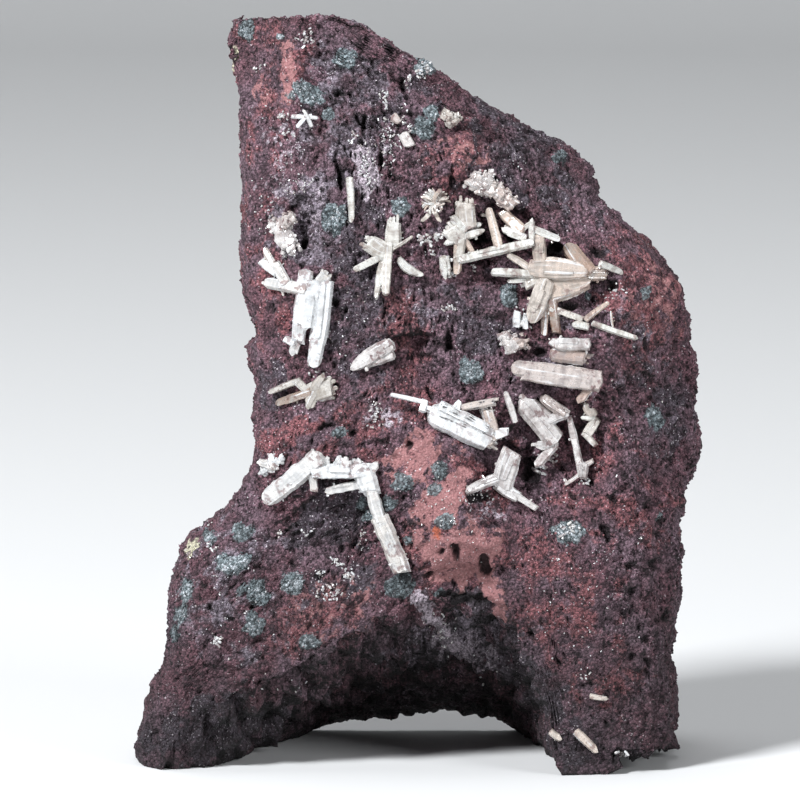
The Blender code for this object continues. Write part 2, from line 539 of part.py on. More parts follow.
def face_point(place, lift):
    """Position of a place on the front face, lifted towards the viewer."""
    across, height = np.array(place)
    return Vector(world(across, height, face_depth(across, height) - lift))


def rock_gaps(blade, surface):
    """Distances along the line of sight from points on a crystal's back to the rock behind them."""
    gaps = []
    for share in RESTING_SHARES:
        place = np.array(blade.start) * (1.0 - share) + np.array(blade.end) * share
        point = face_point(place, blade.lift[0] * (1.0 - share) + blade.lift[1] * share)
        hit = surface.ray_cast(point + TOWARD_VIEWER * RAY_START, -TOWARD_VIEWER)[0]
        if hit is not None:
            gaps.append((point - hit).dot(TOWARD_VIEWER) - blade.thick / 2.0)
    return gaps


def settled(blades, surface):
    """How far each crystal of a group moves back along the line of sight until the group rests on the rock."""
    gaps = [rock_gaps(blade, surface) for blade in blades]
    back = float(np.quantile(sum(gaps, []), RESTING_PART)) + SET_IN
    return [
        min([back] + [gap + blade.thick - CLEARANCE - LEAST_SHOWN for gap in near])
        for blade, near in zip(blades, gaps)
    ]


def crystal(name, blade, number, back):
    """A six-sided flattened prism from one end of its axis to the other, with its far end cut to a tip."""
    start = face_point(blade.start, blade.lift[0] - back)
    end = face_point(blade.end, blade.lift[1] - back)
    along = (end - start).normalized()
    aside = along.cross(TOWARD_VIEWER).normalized()
    outward = along.cross(aside)
    length = (end - start).length
    prism = bmesh.new()
    bmesh.ops.create_cone(
        prism, cap_ends=True, segments=6, radius1=0.5, radius2=0.5, depth=1.0,
        matrix=Matrix.Translation((0.0, 0.0, 0.5)) @ Matrix.Rotation(math.radians(30.0), 4, "Z"),
    )
    flat = blade.thick / math.sin(math.radians(60.0))
    bmesh.ops.scale(prism, vec=(blade.width, flat, length), verts=prism.verts)
    for degrees, stand_back in TIP_CUTS[blade.tip]:
        lean = math.radians(degrees)
        everything = prism.verts[:] + prism.edges[:] + prism.faces[:]
        cut = bmesh.ops.bisect_plane(
            prism, geom=everything, plane_co=(0.0, 0.0, length - stand_back * blade.width),
            plane_no=(math.sin(lean), 0.0, math.cos(lean)), clear_outer=True,
        )
        rim = [item for item in cut["geom_cut"] if isinstance(item, bmesh.types.BMEdge)]
        bmesh.ops.holes_fill(prism, edges=rim, sides=0)
    bmesh.ops.remove_doubles(prism, verts=prism.verts, dist=0.001)
    frame = Matrix((aside, outward, along)).transposed().to_4x4()
    turn = Matrix.Rotation(TURN_SPREAD * math.sin(TURN_STEP * number), 4, "Z")
    bmesh.ops.transform(prism, matrix=Matrix.Translation(start) @ frame @ turn, verts=prism.verts)
    return mesh_from(name, prism)


def boolean(made, operation, others):
    """The object's mesh joined with the other objects, or cut by them, all in one step."""
    group = bpy.data.collections.new("others")
    for other in others:
        group.objects.link(other)
    step = made.modifiers.new(operation, "BOOLEAN")
    step.operation = operation
    step.operand_type = "COLLECTION"
    step.collection = group
    step.solver = "EXACT"
    bpy.context.view_layer.update()
    graph = bpy.context.evaluated_depsgraph_get()
    mesh = bpy.data.meshes.new_from_object(made.evaluated_get(graph))
    made.modifiers.clear()
    bpy.data.collections.remove(group)
    return mesh


def join_all(name, meshes, cutters, cut_by=None):
    """The union of the meshes, less the cutting object: one mesh."""
    first, *others = [link(f"{name}_{number}", mesh, cutters) for number, mesh in enumerate(meshes)]
    if others:
        first.data = boolean(first, "UNION", others)
    if cut_by:
        first.data = boolean(first, "DIFFERENCE", [cut_by])
    mesh = first.data
    for used in (first, *others):
        bpy.data.objects.remove(used)
    return mesh


def flat_faced(mesh):
    """Joins the mesh's faces that lie in one plane."""
    shape = bmesh.new()
    shape.from_mesh(mesh)
    bmesh.ops.dissolve_limit(
        shape, angle_limit=SAME_PLANE, verts=shape.verts, edges=shape.edges, use_dissolve_boundaries=False
    )
    shape.to_mesh(mesh)
    shape.free()


def rosette(name, place, surface):
    """A flattened ball that stands half out of the rock."""
    across, height, radius = place
    ball = bmesh.new()
    bmesh.ops.create_icosphere(ball, subdivisions=1, radius=radius)
    bmesh.ops.scale(ball, vec=(1.0, ROSETTE_RISE, 1.0), verts=ball.verts)
    start = Vector(world(np.array(across), np.array(height), np.array(-RAY_START)))
    bmesh.ops.translate(ball, vec=surface.ray_cast(start, -TOWARD_VIEWER)[0], verts=ball.verts)
    return mesh_from(name, ball)


def surface_of(mesh):
    """The mesh as a surface that lines of sight can be traced to."""
    return BVHTree.FromPolygons(
        [vertex.co for vertex in mesh.vertices], [face.vertices[:] for face in mesh.polygons]
    )


def main():
    """Builds the specimen: the rock, then the crystals that grew on it."""
    for old in list(bpy.data.objects):
        bpy.data.objects.remove(old)
    specimen = bpy.data.collections.new("cerussite_specimen")
    cutters = bpy.data.collections.new("cutters")
    for collection in (specimen, cutters):
        bpy.context.scene.collection.children.link(collection)
    rock_finish = finish("rock", (0.20, 0.10, 0.10), 0.9)
    crystal_finish = finish("crystal", (0.86, 0.83, 0.77), 0.25, 0.3)

    bare = matrix_rock()
    surface = surface_of(bare)
    domes = [rosette(f"rosette_{number}", place, surface) for number, place in enumerate(ROSETTES)]
    rock = join_all("matrix", [bare, *domes], cutters)
    surface = surface_of(rock)
    hand_over("matrix", rock, specimen, rock_finish)

    rock.transform(Matrix.Translation(TOWARD_VIEWER * CLEARANCE))
    allowance = link("allowance", rock, cutters)
    for name, blades in CRYSTALS.items():
        backs = settled(blades, surface)
        meshes = [
            crystal(f"{name}_{number}", blade, number, back)
            for number, (blade, back) in enumerate(zip(blades, backs))
        ]
        group = join_all(name, meshes, cutters, allowance)
        flat_faced(group)
        hand_over(name, group, specimen, crystal_finish)
    bpy.data.objects.remove(allowance)


main()
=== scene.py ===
"""Looks of the cerussite specimen: granular purple-brown rock, blue-grey rosettes, white to cream crystals.

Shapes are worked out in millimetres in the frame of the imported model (x to the right, y away from the
viewer, z up) and brought to metres when they become meshes. Places on the front are measured as they are seen
from the front: across (to the right), height (up the view, which looks down by VIEW_TILT) and depth (level,
away from the viewer).
"""

from __future__ import annotations

import logging
import math
from dataclasses import dataclass
from enum import Enum

import bpy
import numpy as np
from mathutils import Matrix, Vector
from mathutils.bvhtree import BVHTree

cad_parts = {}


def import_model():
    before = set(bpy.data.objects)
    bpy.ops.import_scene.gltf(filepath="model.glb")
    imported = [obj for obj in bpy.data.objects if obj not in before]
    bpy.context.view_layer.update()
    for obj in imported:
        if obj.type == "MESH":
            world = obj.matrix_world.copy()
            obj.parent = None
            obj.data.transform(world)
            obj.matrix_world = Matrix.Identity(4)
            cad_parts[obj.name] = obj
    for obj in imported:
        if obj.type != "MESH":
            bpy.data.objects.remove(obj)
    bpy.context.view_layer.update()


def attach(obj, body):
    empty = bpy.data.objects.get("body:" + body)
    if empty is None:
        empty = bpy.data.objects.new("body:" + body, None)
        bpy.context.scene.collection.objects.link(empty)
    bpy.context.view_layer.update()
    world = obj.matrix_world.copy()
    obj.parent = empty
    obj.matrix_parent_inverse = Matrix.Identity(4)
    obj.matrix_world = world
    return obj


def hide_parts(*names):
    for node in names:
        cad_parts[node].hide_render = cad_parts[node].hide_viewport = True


LOG = logging.getLogger("specimen")
Array = np.ndarray
Pair = tuple[float, float]
Colour = tuple[float, float, float]
Place = tuple[float, float, float]
Row = tuple[float, ...]
Faces = list[list[int]]
Chance = np.random.Generator
Object = bpy.types.Object
Socket = bpy.types.NodeSocket

MM = 0.001
VIEW_TILT = math.radians(8.0)
TOWARD_VIEWER = np.array((0.0, -math.cos(VIEW_TILT), math.sin(VIEW_TILT)))
CENTRE_ACROSS = -0.3
CENTRE_DEPTH = 16.0
FLOOR_CLEARANCE = 0.3


def track(points: tuple[Pair, ...], where: Array) -> Array:
    """The values at some places of straight lines through (place, value) pairs, level past both ends."""
    places, values = zip(*points)
    return np.interp(where, places, values)


def smooth_step(low: float, high: float, value: Array) -> Array:
    """An S-shaped rise, 3 s squared less 2 s cubed, from 0 at low to 1 at high, either of them larger."""
    share = np.clip((value - low) / (high - low), 0.0, 1.0)
    return share * share * (3.0 - 2.0 * share)


# Factors of the lattice noise for x, y, z and the seed, and the size of the sine whose fraction is taken.
LATTICE_FACTORS = (127.1, 311.7, 74.7, 19.19)
LATTICE_SINE = 43758.5453


def lattice_value(cells: Array, seed: float) -> Array:
    """A number for each lattice cell: the fraction left by a large sine of its place.

    Args:
        cells: whole-numbered places, one row each.
        seed: chooses one of many such fields.

    Returns:
        Numbers from 0 to 1.
    """
    by_x, by_y, by_z, by_seed = LATTICE_FACTORS
    mixed = cells[:, 0] * by_x + cells[:, 1] * by_y + cells[:, 2] * by_z + seed * by_seed
    mixed = np.sin(mixed) * LATTICE_SINE
    return mixed - np.floor(mixed)


def soft_noise(points: Array, size: float, seed: float) -> Array:
    """Smooth noise: lattice values blended over each cell with an S-shaped weight along each axis.

    Args:
        points: places in millimetres, one row each.
        size: the size of a cell.
        seed: chooses the field.

    Returns:
        One value from -1 to 1 for each point.
    """
    scaled = points / size
    low = np.floor(scaled)
    share = scaled - low
    share = share * share * (3.0 - 2.0 * share)
    total = np.zeros(len(points))
    for corner in np.ndindex(2, 2, 2):
        step = np.array(corner)
        weight = np.prod(np.where(step, share, 1.0 - share), axis=1)
        total += weight * lattice_value(low + step, seed)
    return 2.0 * total - 1.0


def layered_noise(points: Array, layers: tuple[Row, ...]) -> Array:
    """The sum of layers of soft noise, each given as its height, the size of its cells and its seed."""
    return sum(height * soft_noise(points, size, seed) for height, size, seed in layers)


def cell_noise(points: Array, size: float, seed: float) -> tuple[Array, Array, Array]:
    """Cellular noise: the distances to one jittered point in each lattice cell round about.

    Args:
        points: places in millimetres, one row each.
        size: the size of a cell.
        seed: chooses the field.

    Returns:
        The distance to the nearest jittered point and to the second nearest, in cells, and a number from 0 to
        1 that belongs to the nearest one.
    """
    scaled = points / size
    home = np.floor(scaled)
    nearest = np.full(len(points), np.inf)
    second = nearest.copy()
    owner = np.zeros(len(points))
    for corner in np.ndindex(3, 3, 3):
        cell = home + np.array(corner) - 1.0
        spot = cell + np.stack([lattice_value(cell, seed + axis) for axis in range(3)], axis=1)
        far = np.linalg.norm(scaled - spot, axis=1)
        closer = far < nearest
        second = np.where(closer, nearest, np.minimum(second, far))
        owner = np.where(closer, lattice_value(cell, seed + 3), owner)
        nearest = np.where(closer, far, nearest)
    return nearest, second, owner


def creased_lumps(points: Array, size: float, seed: float) -> tuple[Array, Array]:
    """Lumps from 0 in their creases to 1, by cell_noise's two distances, and their own numbers."""
    nearest, second, owner = cell_noise(points, size, seed)
    return np.minimum(second - nearest, 0.5) * 2.0, owner


def world(across: Array, height: Array, depth: Array) -> Array:
    """Positions in millimetres, one row each, of places seen at (across, height) with their depth."""
    upright = (height - depth * math.sin(VIEW_TILT)) / math.cos(VIEW_TILT)
    return np.stack((across - CENTRE_ACROSS, depth - CENTRE_DEPTH, upright), axis=-1)


def seen(points: Array) -> tuple[Array, Array, Array]:
    """The opposite of world.

    Args:
        points: positions in millimetres, one row each.

    Returns:
        Their across, height and depth.
    """
    depth = points[:, 1] + CENTRE_DEPTH
    height = points[:, 2] * math.cos(VIEW_TILT) + depth * math.sin(VIEW_TILT)
    return points[:, 0] + CENTRE_ACROSS, height, depth


@dataclass(frozen=True)
class Swell:
    """A smooth round rise of the front face, or a hollow where the rise is negative."""

    across: float
    height: float
    half_width: float
    half_height: float
    rise: float

    def at(self, across: Array, height: Array) -> Array:
        """How far the swell brings the face forward.

        Args:
            across: places, to the right.
            height: places, up the view.

        Returns:
            The rise, which falls off with the cube of the distance, as a bell does.
        """
        right = (across - self.across) / self.half_width
        up = (height - self.height) / self.half_height
        return self.rise * np.exp(-(right ** 2 + up ** 2) ** SWELL_FALL)


@dataclass(frozen=True)
class Ledge:
    """A straight break of the face from start to end, whose left side stands proud by the step."""

    start: Pair
    end: Pair
    step: float

    def at(self, across: Array, height: Array) -> Array:
        """How far the ledge brings the face forward.

        Args:
            across: places, to the right.
            height: places, up the view.

        Returns:
            A logistic step across the line, faded along it and away from it on the left.
        """
        start = np.array(self.start)
        way = np.array(self.end) - start
        length = float(np.hypot(*way))
        way = way / length
        along = (across - start[0]) * way[0] + (height - start[1]) * way[1]
        left = (height - start[1]) * way[0] - (across - start[0]) * way[1]
        fading = np.clip(np.minimum(along, length - along) / LEDGE_FADE + 0.5, 0.0, 1.0)
        reach = np.exp(-(np.maximum(left, 0.0) / (LEDGE_REACH * length)) ** 2)
        return self.step * fading * reach / (1.0 + np.exp(-left / LEDGE_RUN))


# Driving dimensions of the block, in millimetres, as the model has them.
TOP_HEIGHT = 94.9
BASE_ACROSS = (-35.9, 31.8)
SIDE_PULL = 0.08
WIDEST_SHARE = 0.4
# The columns of fine cells follow the underside, evened out over this share of the width, and its own line
# only near it: the difference fades out over this share of the height.
EVEN_OVER = 0.07
EVEN_FADE = 0.09
ROUNDED_OVER = 0.012

# Side outlines of the block: (height, across), from the foot up.
LEFT_OUTLINE = (
    (0, -35.9), (3.4, -36.1), (7.1, -35.3), (10.9, -34.3), (14, -32.4), (22.1, -31.5), (25.3, -30.8),
    (29, -29.3), (30.6, -27), (32.1, -26), (36.5, -22.6), (39, -21.1), (47.1, -20.3), (49, -20.1),
    (52.9, -21.4), (54, -22), (55.3, -20.7), (60.6, -22.2), (65.9, -22.7), (74.6, -22.1), (78.5, -21.8),
    (84.6, -22.6), (87.8, -23.5), (90.3, -24.4), (92.1, -24.2), (94.6, -23.5),
)
RIGHT_OUTLINE = (
    (3.1, 31.8), (7, 32.4), (10.9, 31.9), (14.6, 31.1), (22.1, 33), (27.6, 33.6), (32.1, 32.5), (35, 32.4),
    (37.4, 33.4), (39.6, 35.2), (42.1, 35.7), (47.1, 35.3), (49.9, 35.9), (52.4, 35.8), (54, 34.9),
    (58.4, 34.4), (61.5, 33), (65.1, 30.3), (66.5, 28.9), (68.6, 25.8), (72.1, 22.3), (74, 22.1),
    (76.5, 21.7), (79, 19.2), (80.1, 16.9), (81.5, 12.8), (85.3, 7), (89.6, 0.6), (91.5, -3.6), (94, -7.4),
    (94.9, -10),
)

# Front and back edges of the broken underside: (across, height). Heights under the floor are cut off level.
UNDERSIDE_FRONT = (
    (-35.3, -4), (-33.2, -2), (-31.8, 6.5), (-29.6, 8.2), (-24, 10.6), (-20.8, 11.9), (-15, 15.4),
    (-8.9, 19.6), (-3, 21.5), (2.5, 22), (6.3, 23), (9.5, 20.9), (12, 17), (15.6, 10.9), (17, 5.9), (18, -4),
    (24, -4), (25.2, 2.6), (31.8, 3.1),
)
UNDERSIDE_BACK = (
    (-24, -8), (-20, 1), (-16.9, 3.1), (-14.3, 4.6), (-7.9, 5.9), (1.8, 6.5), (11.3, 5.9), (14, 3.5),
    (17.5, -3), (20, -8), (24, -8), (26.5, 5), (31.8, 6.5),
)
# Share of the block's depth at which the underside has come down to its back edge.
UNDERSIDE_REACH = (
    (-35, 0.10), (-29, 0.20), (-20, 0.60), (-12, 1), (12, 1), (18, 0.5), (24, 0.20), (26.5, 0.80), (31.8, 1),
)

# Front face: how it leans back, and the shoulders past which it falls away to the sides (height, across).
FACE_LEAN = 0.10
LEFT_SHOULDER = ((0.0, -31.0), (22.0, -28.0), (34.0, -19.0), (47.0, -15.0), (72.0, -16.0), (94.0, -15.0))
RIGHT_SHOULDER = (
    (5, 29), (22, 28.8), (35, 27.5), (47, 23.8), (60, 25), (63.5, 22.5), (74.5, 10), (86.5, 1.3), (95, -4),
)
SHOULDER_SLOPE = 0.9
LEFT_LEG_EDGE = -5.0
LEFT_LEG_SLOPE = 0.10
RIGHT_LEG_EDGE = 18.0
RIGHT_LEG_SLOPE = 0.15
LEGS_FROM = 45.0
LEGS_FADE = 12.0

# Back face: the least of four planes, and the least thickness it leaves.
BACK_DEPTH = 32.8
BACK_LEAN = 0.10
BACK_LEFT_DEPTH = 24.0
BACK_RIGHT_DEPTH = 28.0
BACK_ACROSS = (-35.0, 35.0)
BACK_TOP_DEPTH = 17.0
BACK_SIDE_SLOPE = 0.8
LEAST_THICKNESS = 5.0

# How steeply a swell falls off past its half sizes.
SWELL_FALL = 1.5
# Rises of the front face, and its hollows (negative rise).
RISES = (
    Swell(2.5, 40, 4.5, 8, 1.6), Swell(6, 29, 4.5, 8, 2.4), Swell(-3.8, 57, 4, 5.5, 1.8),
    Swell(-27, 24, 6, 10, 1.4), Swell(22, 24, 7, 12, 1.6), Swell(3, 77, 6, 8, 1.2),
)
HOLLOWS = (
    Swell(-10, 31, 6, 6.5, -3), Swell(13.8, 66, 9, 6, -3.2), Swell(7.2, 66.3, 2.6, 2.4, -2.6),
    Swell(21.6, 60.4, 3, 2.6, -2.6), Swell(15, 41, 7, 5, -2.6), Swell(11.5, 39, 2.8, 2.6, -2.4),
    Swell(20.8, 40, 2.6, 2.8, -1.8), Swell(6.2, 24.5, 4.2, 3.2, -3.4), Swell(-15, 68.5, 1.9, 3, -2),
    Swell(-1.5, 53.6, 2.2, 2.2, -1.6),
)

LEDGES = (
    Ledge((-14.4, 81.5), (-14.2, 95.0), 1.1),
    Ledge((-2.5, 51.5), (-21.5, 40.5), 1.7),
    Ledge((8.0, 30.0), (25.0, 37.5), -1.2),
    Ledge((9.5, 87.0), (4.0, 70.0), -0.9),
)
# A ledge's step rises over this run, dies out over this length past its ends, and behind it over this share
# of its own length.
LEDGE_RUN = 0.45
LEDGE_FADE = 3.0
LEDGE_REACH = 0.6

# Broken lumps of the surface, as layers of noise: (height, size of a cell, seed).
LUMPS = ((0.85, 11.0, 3.0), (0.75, 5.5, 8.0))
# The lumps are lower on the feet (height, share) and where the block is narrow (width, share).
LUMPS_BY_HEIGHT = ((3.0, 0.30), (13.0, 1.0))
LUMPS_BY_WIDTH = ((12.0, 0.25), (40.0, 1.0))


class Block:
    """The broken block's outer form, before its fine relief, as functions of places on a unit cube."""

    def face_depth(self, across: Array, height: Array) -> Array:
        """Depth of the front face before its hollows.

        Args:
            across: places, to the right.
            height: places, up the view.

        Returns:
            A plane that leans back and falls away past its shoulders, less its rises and ledges.
        """
        depth = FACE_LEAN * height
        depth = depth + SHOULDER_SLOPE * np.maximum(track(LEFT_SHOULDER, height) - across, 0.0)
        depth = depth + SHOULDER_SLOPE * np.maximum(across - track(RIGHT_SHOULDER, height), 0.0)
        low = np.clip((LEGS_FROM - height) / LEGS_FADE, 0.0, 1.0)
        depth = depth + low * LEFT_LEG_SLOPE * np.maximum(LEFT_LEG_EDGE - across, 0.0)
        depth = depth + low * RIGHT_LEG_SLOPE * np.maximum(across - RIGHT_LEG_EDGE, 0.0)
        for rise in RISES:
            depth = depth - rise.at(across, height)
        for ledge in LEDGES:
            depth = depth - ledge.at(across, height)
        return depth

    def back_depth(self, across: Array, height: Array, front: Array) -> Array:
        """Depth of the back face: the least of four planes, kept a least thickness behind the front."""
        planes = (
            BACK_DEPTH - BACK_LEAN * height,
            BACK_LEFT_DEPTH + BACK_SIDE_SLOPE * (across - BACK_ACROSS[0]),
            BACK_RIGHT_DEPTH + BACK_SIDE_SLOPE * (BACK_ACROSS[1] - across),
            BACK_TOP_DEPTH + BACK_SIDE_SLOPE * (TOP_HEIGHT - height),
        )
        return np.maximum(np.minimum.reduce(planes), front + LEAST_THICKNESS)

    def places(self, share: Array) -> Array:
        """Positions on the block's surface for shares (across, deep, high) of the unit cube.

        The cube's columns run from the broken underside, or from the floor where it would lie lower, to the
        top, its rows from the left outline to the right one, and its depth from the front face to the back.

        Args:
            share: three numbers from 0 to 1, one row for each point.

        Returns:
            x, y and z in millimetres, one row each.
        """
        side, deep, high = share.T
        low = self.evened(side, deep, ROUNDED_OVER)
        even = self.evened(side, deep, EVEN_OVER)
        height = even + (TOP_HEIGHT - even) * high
        height += (low - even) * np.exp(-high / EVEN_FADE) * (1.0 - high)
        across, depth = self.across_and_depth(side, deep, height)
        points = world(across, height, depth)
        points[:, 2] = np.maximum(points[:, 2], 0.0)
        return points

    def evened(self, side: Array, deep: Array, reach: float) -> Array:
        """The underside's heights, as the mean of nine places spread over a share of the width each way."""
        places = [np.clip(side + offset, 0.0, 1.0) for offset in np.linspace(-reach, reach, 9)]
        return sum(self.underside(place, deep) for place in places) / len(places)

    def underside(self, side: Array, deep: Array) -> Array:
        """Heights of the broken underside, or of the floor where the underside would lie below it.

        Args:
            side: shares of the width.
            deep: shares of the depth.

        Returns:
            Heights between its front edge and its back edge.
        """
        across = BASE_ACROSS[0] + (BASE_ACROSS[1] - BASE_ACROSS[0]) * side
        front_edge = track(UNDERSIDE_FRONT, across)
        back_edge = track(UNDERSIDE_BACK, across)
        descent = np.clip(deep / track(UNDERSIDE_REACH, across), 0.0, 1.0)
        low = front_edge + (back_edge - front_edge) * descent
        for _ in range(2):
            _, depth = self.across_and_depth(side, deep, low)
            low = np.maximum(low, depth * math.sin(VIEW_TILT))
        return low

    def across_and_depth(self, side: Array, deep: Array, height: Array) -> tuple[Array, Array]:
        """Places of shares of the width and the depth.

        Args:
            side: shares of the way from the left outline to the right one.
            deep: shares of the way from front to back.
            height: places, up the view.

        Returns:
            Across, drawn in before and behind the widest depth, and depth.
        """
        left = track(LEFT_OUTLINE, height)
        right = track(RIGHT_OUTLINE, height)
        pull = 1.0 - SIDE_PULL * ((deep - WIDEST_SHARE) / (1.0 - WIDEST_SHARE)) ** 2
        across = (left + right) / 2.0 + (right - left) * (side - 0.5) * pull
        face = self.face_depth(across, height)
        front = face.copy()
        for hollow in HOLLOWS:
            front = front - hollow.at(across, height)
        return across, front + (self.back_depth(across, height, face) - front) * deep

    def face_point(self, place: Array, lift: float) -> Array:
        """The position of a place on the front face, lifted towards the viewer."""
        across, height = np.array(place)
        return world(across, height, self.face_depth(across, height) - lift)


class Kind(Enum):
    """What a patch of the rock's surface is made of; two of the dark patches are painted shadow instead."""

    CLAY = "clay"
    DARK = "dark"
    LILAC = "lilac"
    RUST = "rust"
    RED = "red"
    GREY = "grey"
    SMOOTH = "smooth"
    PITTED = "pitted"
    OCHRE = "ochre"


@dataclass(frozen=True)
class Patch:
    """An oval patch of the surface, turned anticlockwise by some degrees."""

    across: float
    height: float
    half_width: float
    half_height: float
    turn: float = 0.0
    strength: float = 1.0

    def far(self, across: Array, height: Array) -> Array:
        """How far places lie from the patch's middle.

        Args:
            across: places, to the right.
            height: places, up the view.

        Returns:
            The distance as a share of the half sizes, 1 on the oval's edge.
        """
        turn = math.radians(self.turn)
        right = across - self.across
        up = height - self.height
        level = (right * math.cos(turn) + up * math.sin(turn)) / self.half_width
        upright = (up * math.cos(turn) - right * math.sin(turn)) / self.half_height
        return np.hypot(level, upright)


# Patches of the front face by kind, as they show from the front: across, height, half width, half height,
# turn in degrees and strength. A ragged patch ends at this share of its half sizes.
PATCH_EDGE = 1.35
PATCHES = {
    Kind.CLAY: (
        (-0.2, 39.2, 3.6, 3.6, 30, 0.9), (2.8, 35, 3.2, 4.6, 25), (4.8, 28, 4.6, 4.4, 0),
        (8.8, 23, 1, 3.4, 28), (-16.6, 88.4, 1.2, 4.6, 4, 0.75), (-20.4, 85.6, 1.6, 2, 0, 0.4),
        (5.6, 78.2, 3.4, 2.2, -25, 0.45), (30.2, 60.5, 3, 6, 12, 0.4), (-9.4, 20.9, 5.6, 3.2, 15, 0.3),
        (8, 25.4, 1.6, 3.4, 28),
    ),
    Kind.RED: (
        (-3.2, 57.5, 4, 5, 30, 0.9), (-12, 20, 8, 3.6, 20, 0.7), (-14.5, 43.4, 7, 1.7, 22, 1),
        (-19, 93, 3.5, 2.5, 0, 0.8), (-17.2, 58.4, 1.2, 2.8, 0, 0.75), (-19.8, 74, 3, 22, 0, 0.5),
        (-18, 90, 5.5, 6, 0, 0.6), (18, 19, 8, 14, 25, 0.55), (28, 59, 5, 9, 10, 0.75),
        (-9, 42, 9, 2.8, 22, 0.7), (25, 36, 8, 9, 0, 0.5), (-3, 48.5, 6, 5, 0, 0.5), (5, 30, 8, 12, 15, 0.6),
        (5, 79, 6, 5, -30, 0.6),
    ),
    Kind.OCHRE: ((-29, 28.6, 0.8, 1.5, -15), (-23.4, 90.5, 0.5, 1.4, 0, 0.8)),
    # Two dark patches are painted shadow: (15.4, 11) on the hollow's right wall and (6.4, 22.2) under the
    # clay's lower edge.
    Kind.DARK: (
        (-7.5, 61.5, 4.4, 13, 0, 0.75), (-9.8, 32.1, 5.2, 4.6, 0, 0.8), (-19, 47.8, 2.8, 3.4, 0, 0.7),
        (13.5, 78, 6.5, 12, 40, 0.6), (7.5, 57.5, 5, 4.2, 0, 0.7), (30, 46, 4.4, 7, 0, 0.55),
        (-5, 84, 8, 8, 0, 0.45), (-25, 5.5, 11, 5, 12, 0.85), (15.4, 11, 2.4, 9, 38, 0.8),
        (21, 3.5, 6, 3.4, 0, 0.6), (-9, 24.5, 5, 3, 10, 0.5), (6.4, 22.2, 4.6, 1.6, -8, 1),
    ),
    Kind.LILAC: (
        (-6.9, 76, 1.7, 3, 8, 1.3), (-4.2, 79, 1.1, 3.4, -10, 0.6), (-16, 73.6, 4.6, 1.9, 0, 0.25),
        (-12.8, 70.6, 2.4, 2.8, 20, 0.25), (-16.5, 79, 3.6, 4, 0, 0.25), (2.6, 18.2, 1.3, 5.4, 37, 1),
        (6.2, 14.2, 3, 2.6, 0, 0.75), (-4.4, 44.6, 2, 1.7, 0, 0.45), (7.4, 33.6, 2.6, 1.4, -30, 0.4),
    ),
    Kind.GREY: (
        (6, 15, 6, 5, 0, 1), (-9, 82, 6, 10, 0, 0.7), (-13, 70, 5, 7, 0, 0.8), (-24, 24, 7, 9, 0, 0.45),
        (2, 62, 4, 6, 0, 0.4), (2, 14, 9, 5, 0, 0.6), (22, 52, 10, 6, 0, 0.3),
    ),
    Kind.RUST: ((2.2, 30.6, 0.6, 0.9, 20, 1), (18.7, 65.4, 1, 1.2, 0, 0.45)),
    Kind.PITTED: (
        (28.5, 27, 5.5, 20, 0, 1), (-4, 80, 7, 12, 0, 0.8), (12, 76, 8, 8, 0, 0.8), (8, 56, 12, 8, 0, 0.7),
        (-9, 58, 6, 12, 0, 0.6), (28, 46, 8, 8, 0, 0.8), (-8, 30, 8, 8, 0, 0.7), (20, 33, 8, 6, 0, 0.6),
    ),
    Kind.SMOOTH: ((-19.5, 84, 4, 14, 0, 0.6), (-21.4, 66, 2, 26, 0, 0.8), (18.7, 20, 8, 13, 25, 0.35)),
}

# How far behind the front face its patches reach, in millimetres, and what takes their place farther back:
# how much of each kind, in broad fields, and the seed of the field.
REACH = {Kind.OCHRE: 5.0, Kind.LILAC: 24.0, Kind.GREY: 24.0, Kind.DARK: 24.0}
USUAL_REACH = 13.0
BACK_FIELDS = {
    Kind.RED: (0.7, 90.0), Kind.GREY: (0.7, 93.0), Kind.DARK: (0.6, 96.0), Kind.PITTED: (0.9, 99.0),
    Kind.LILAC: (0.25, 103.0),
}

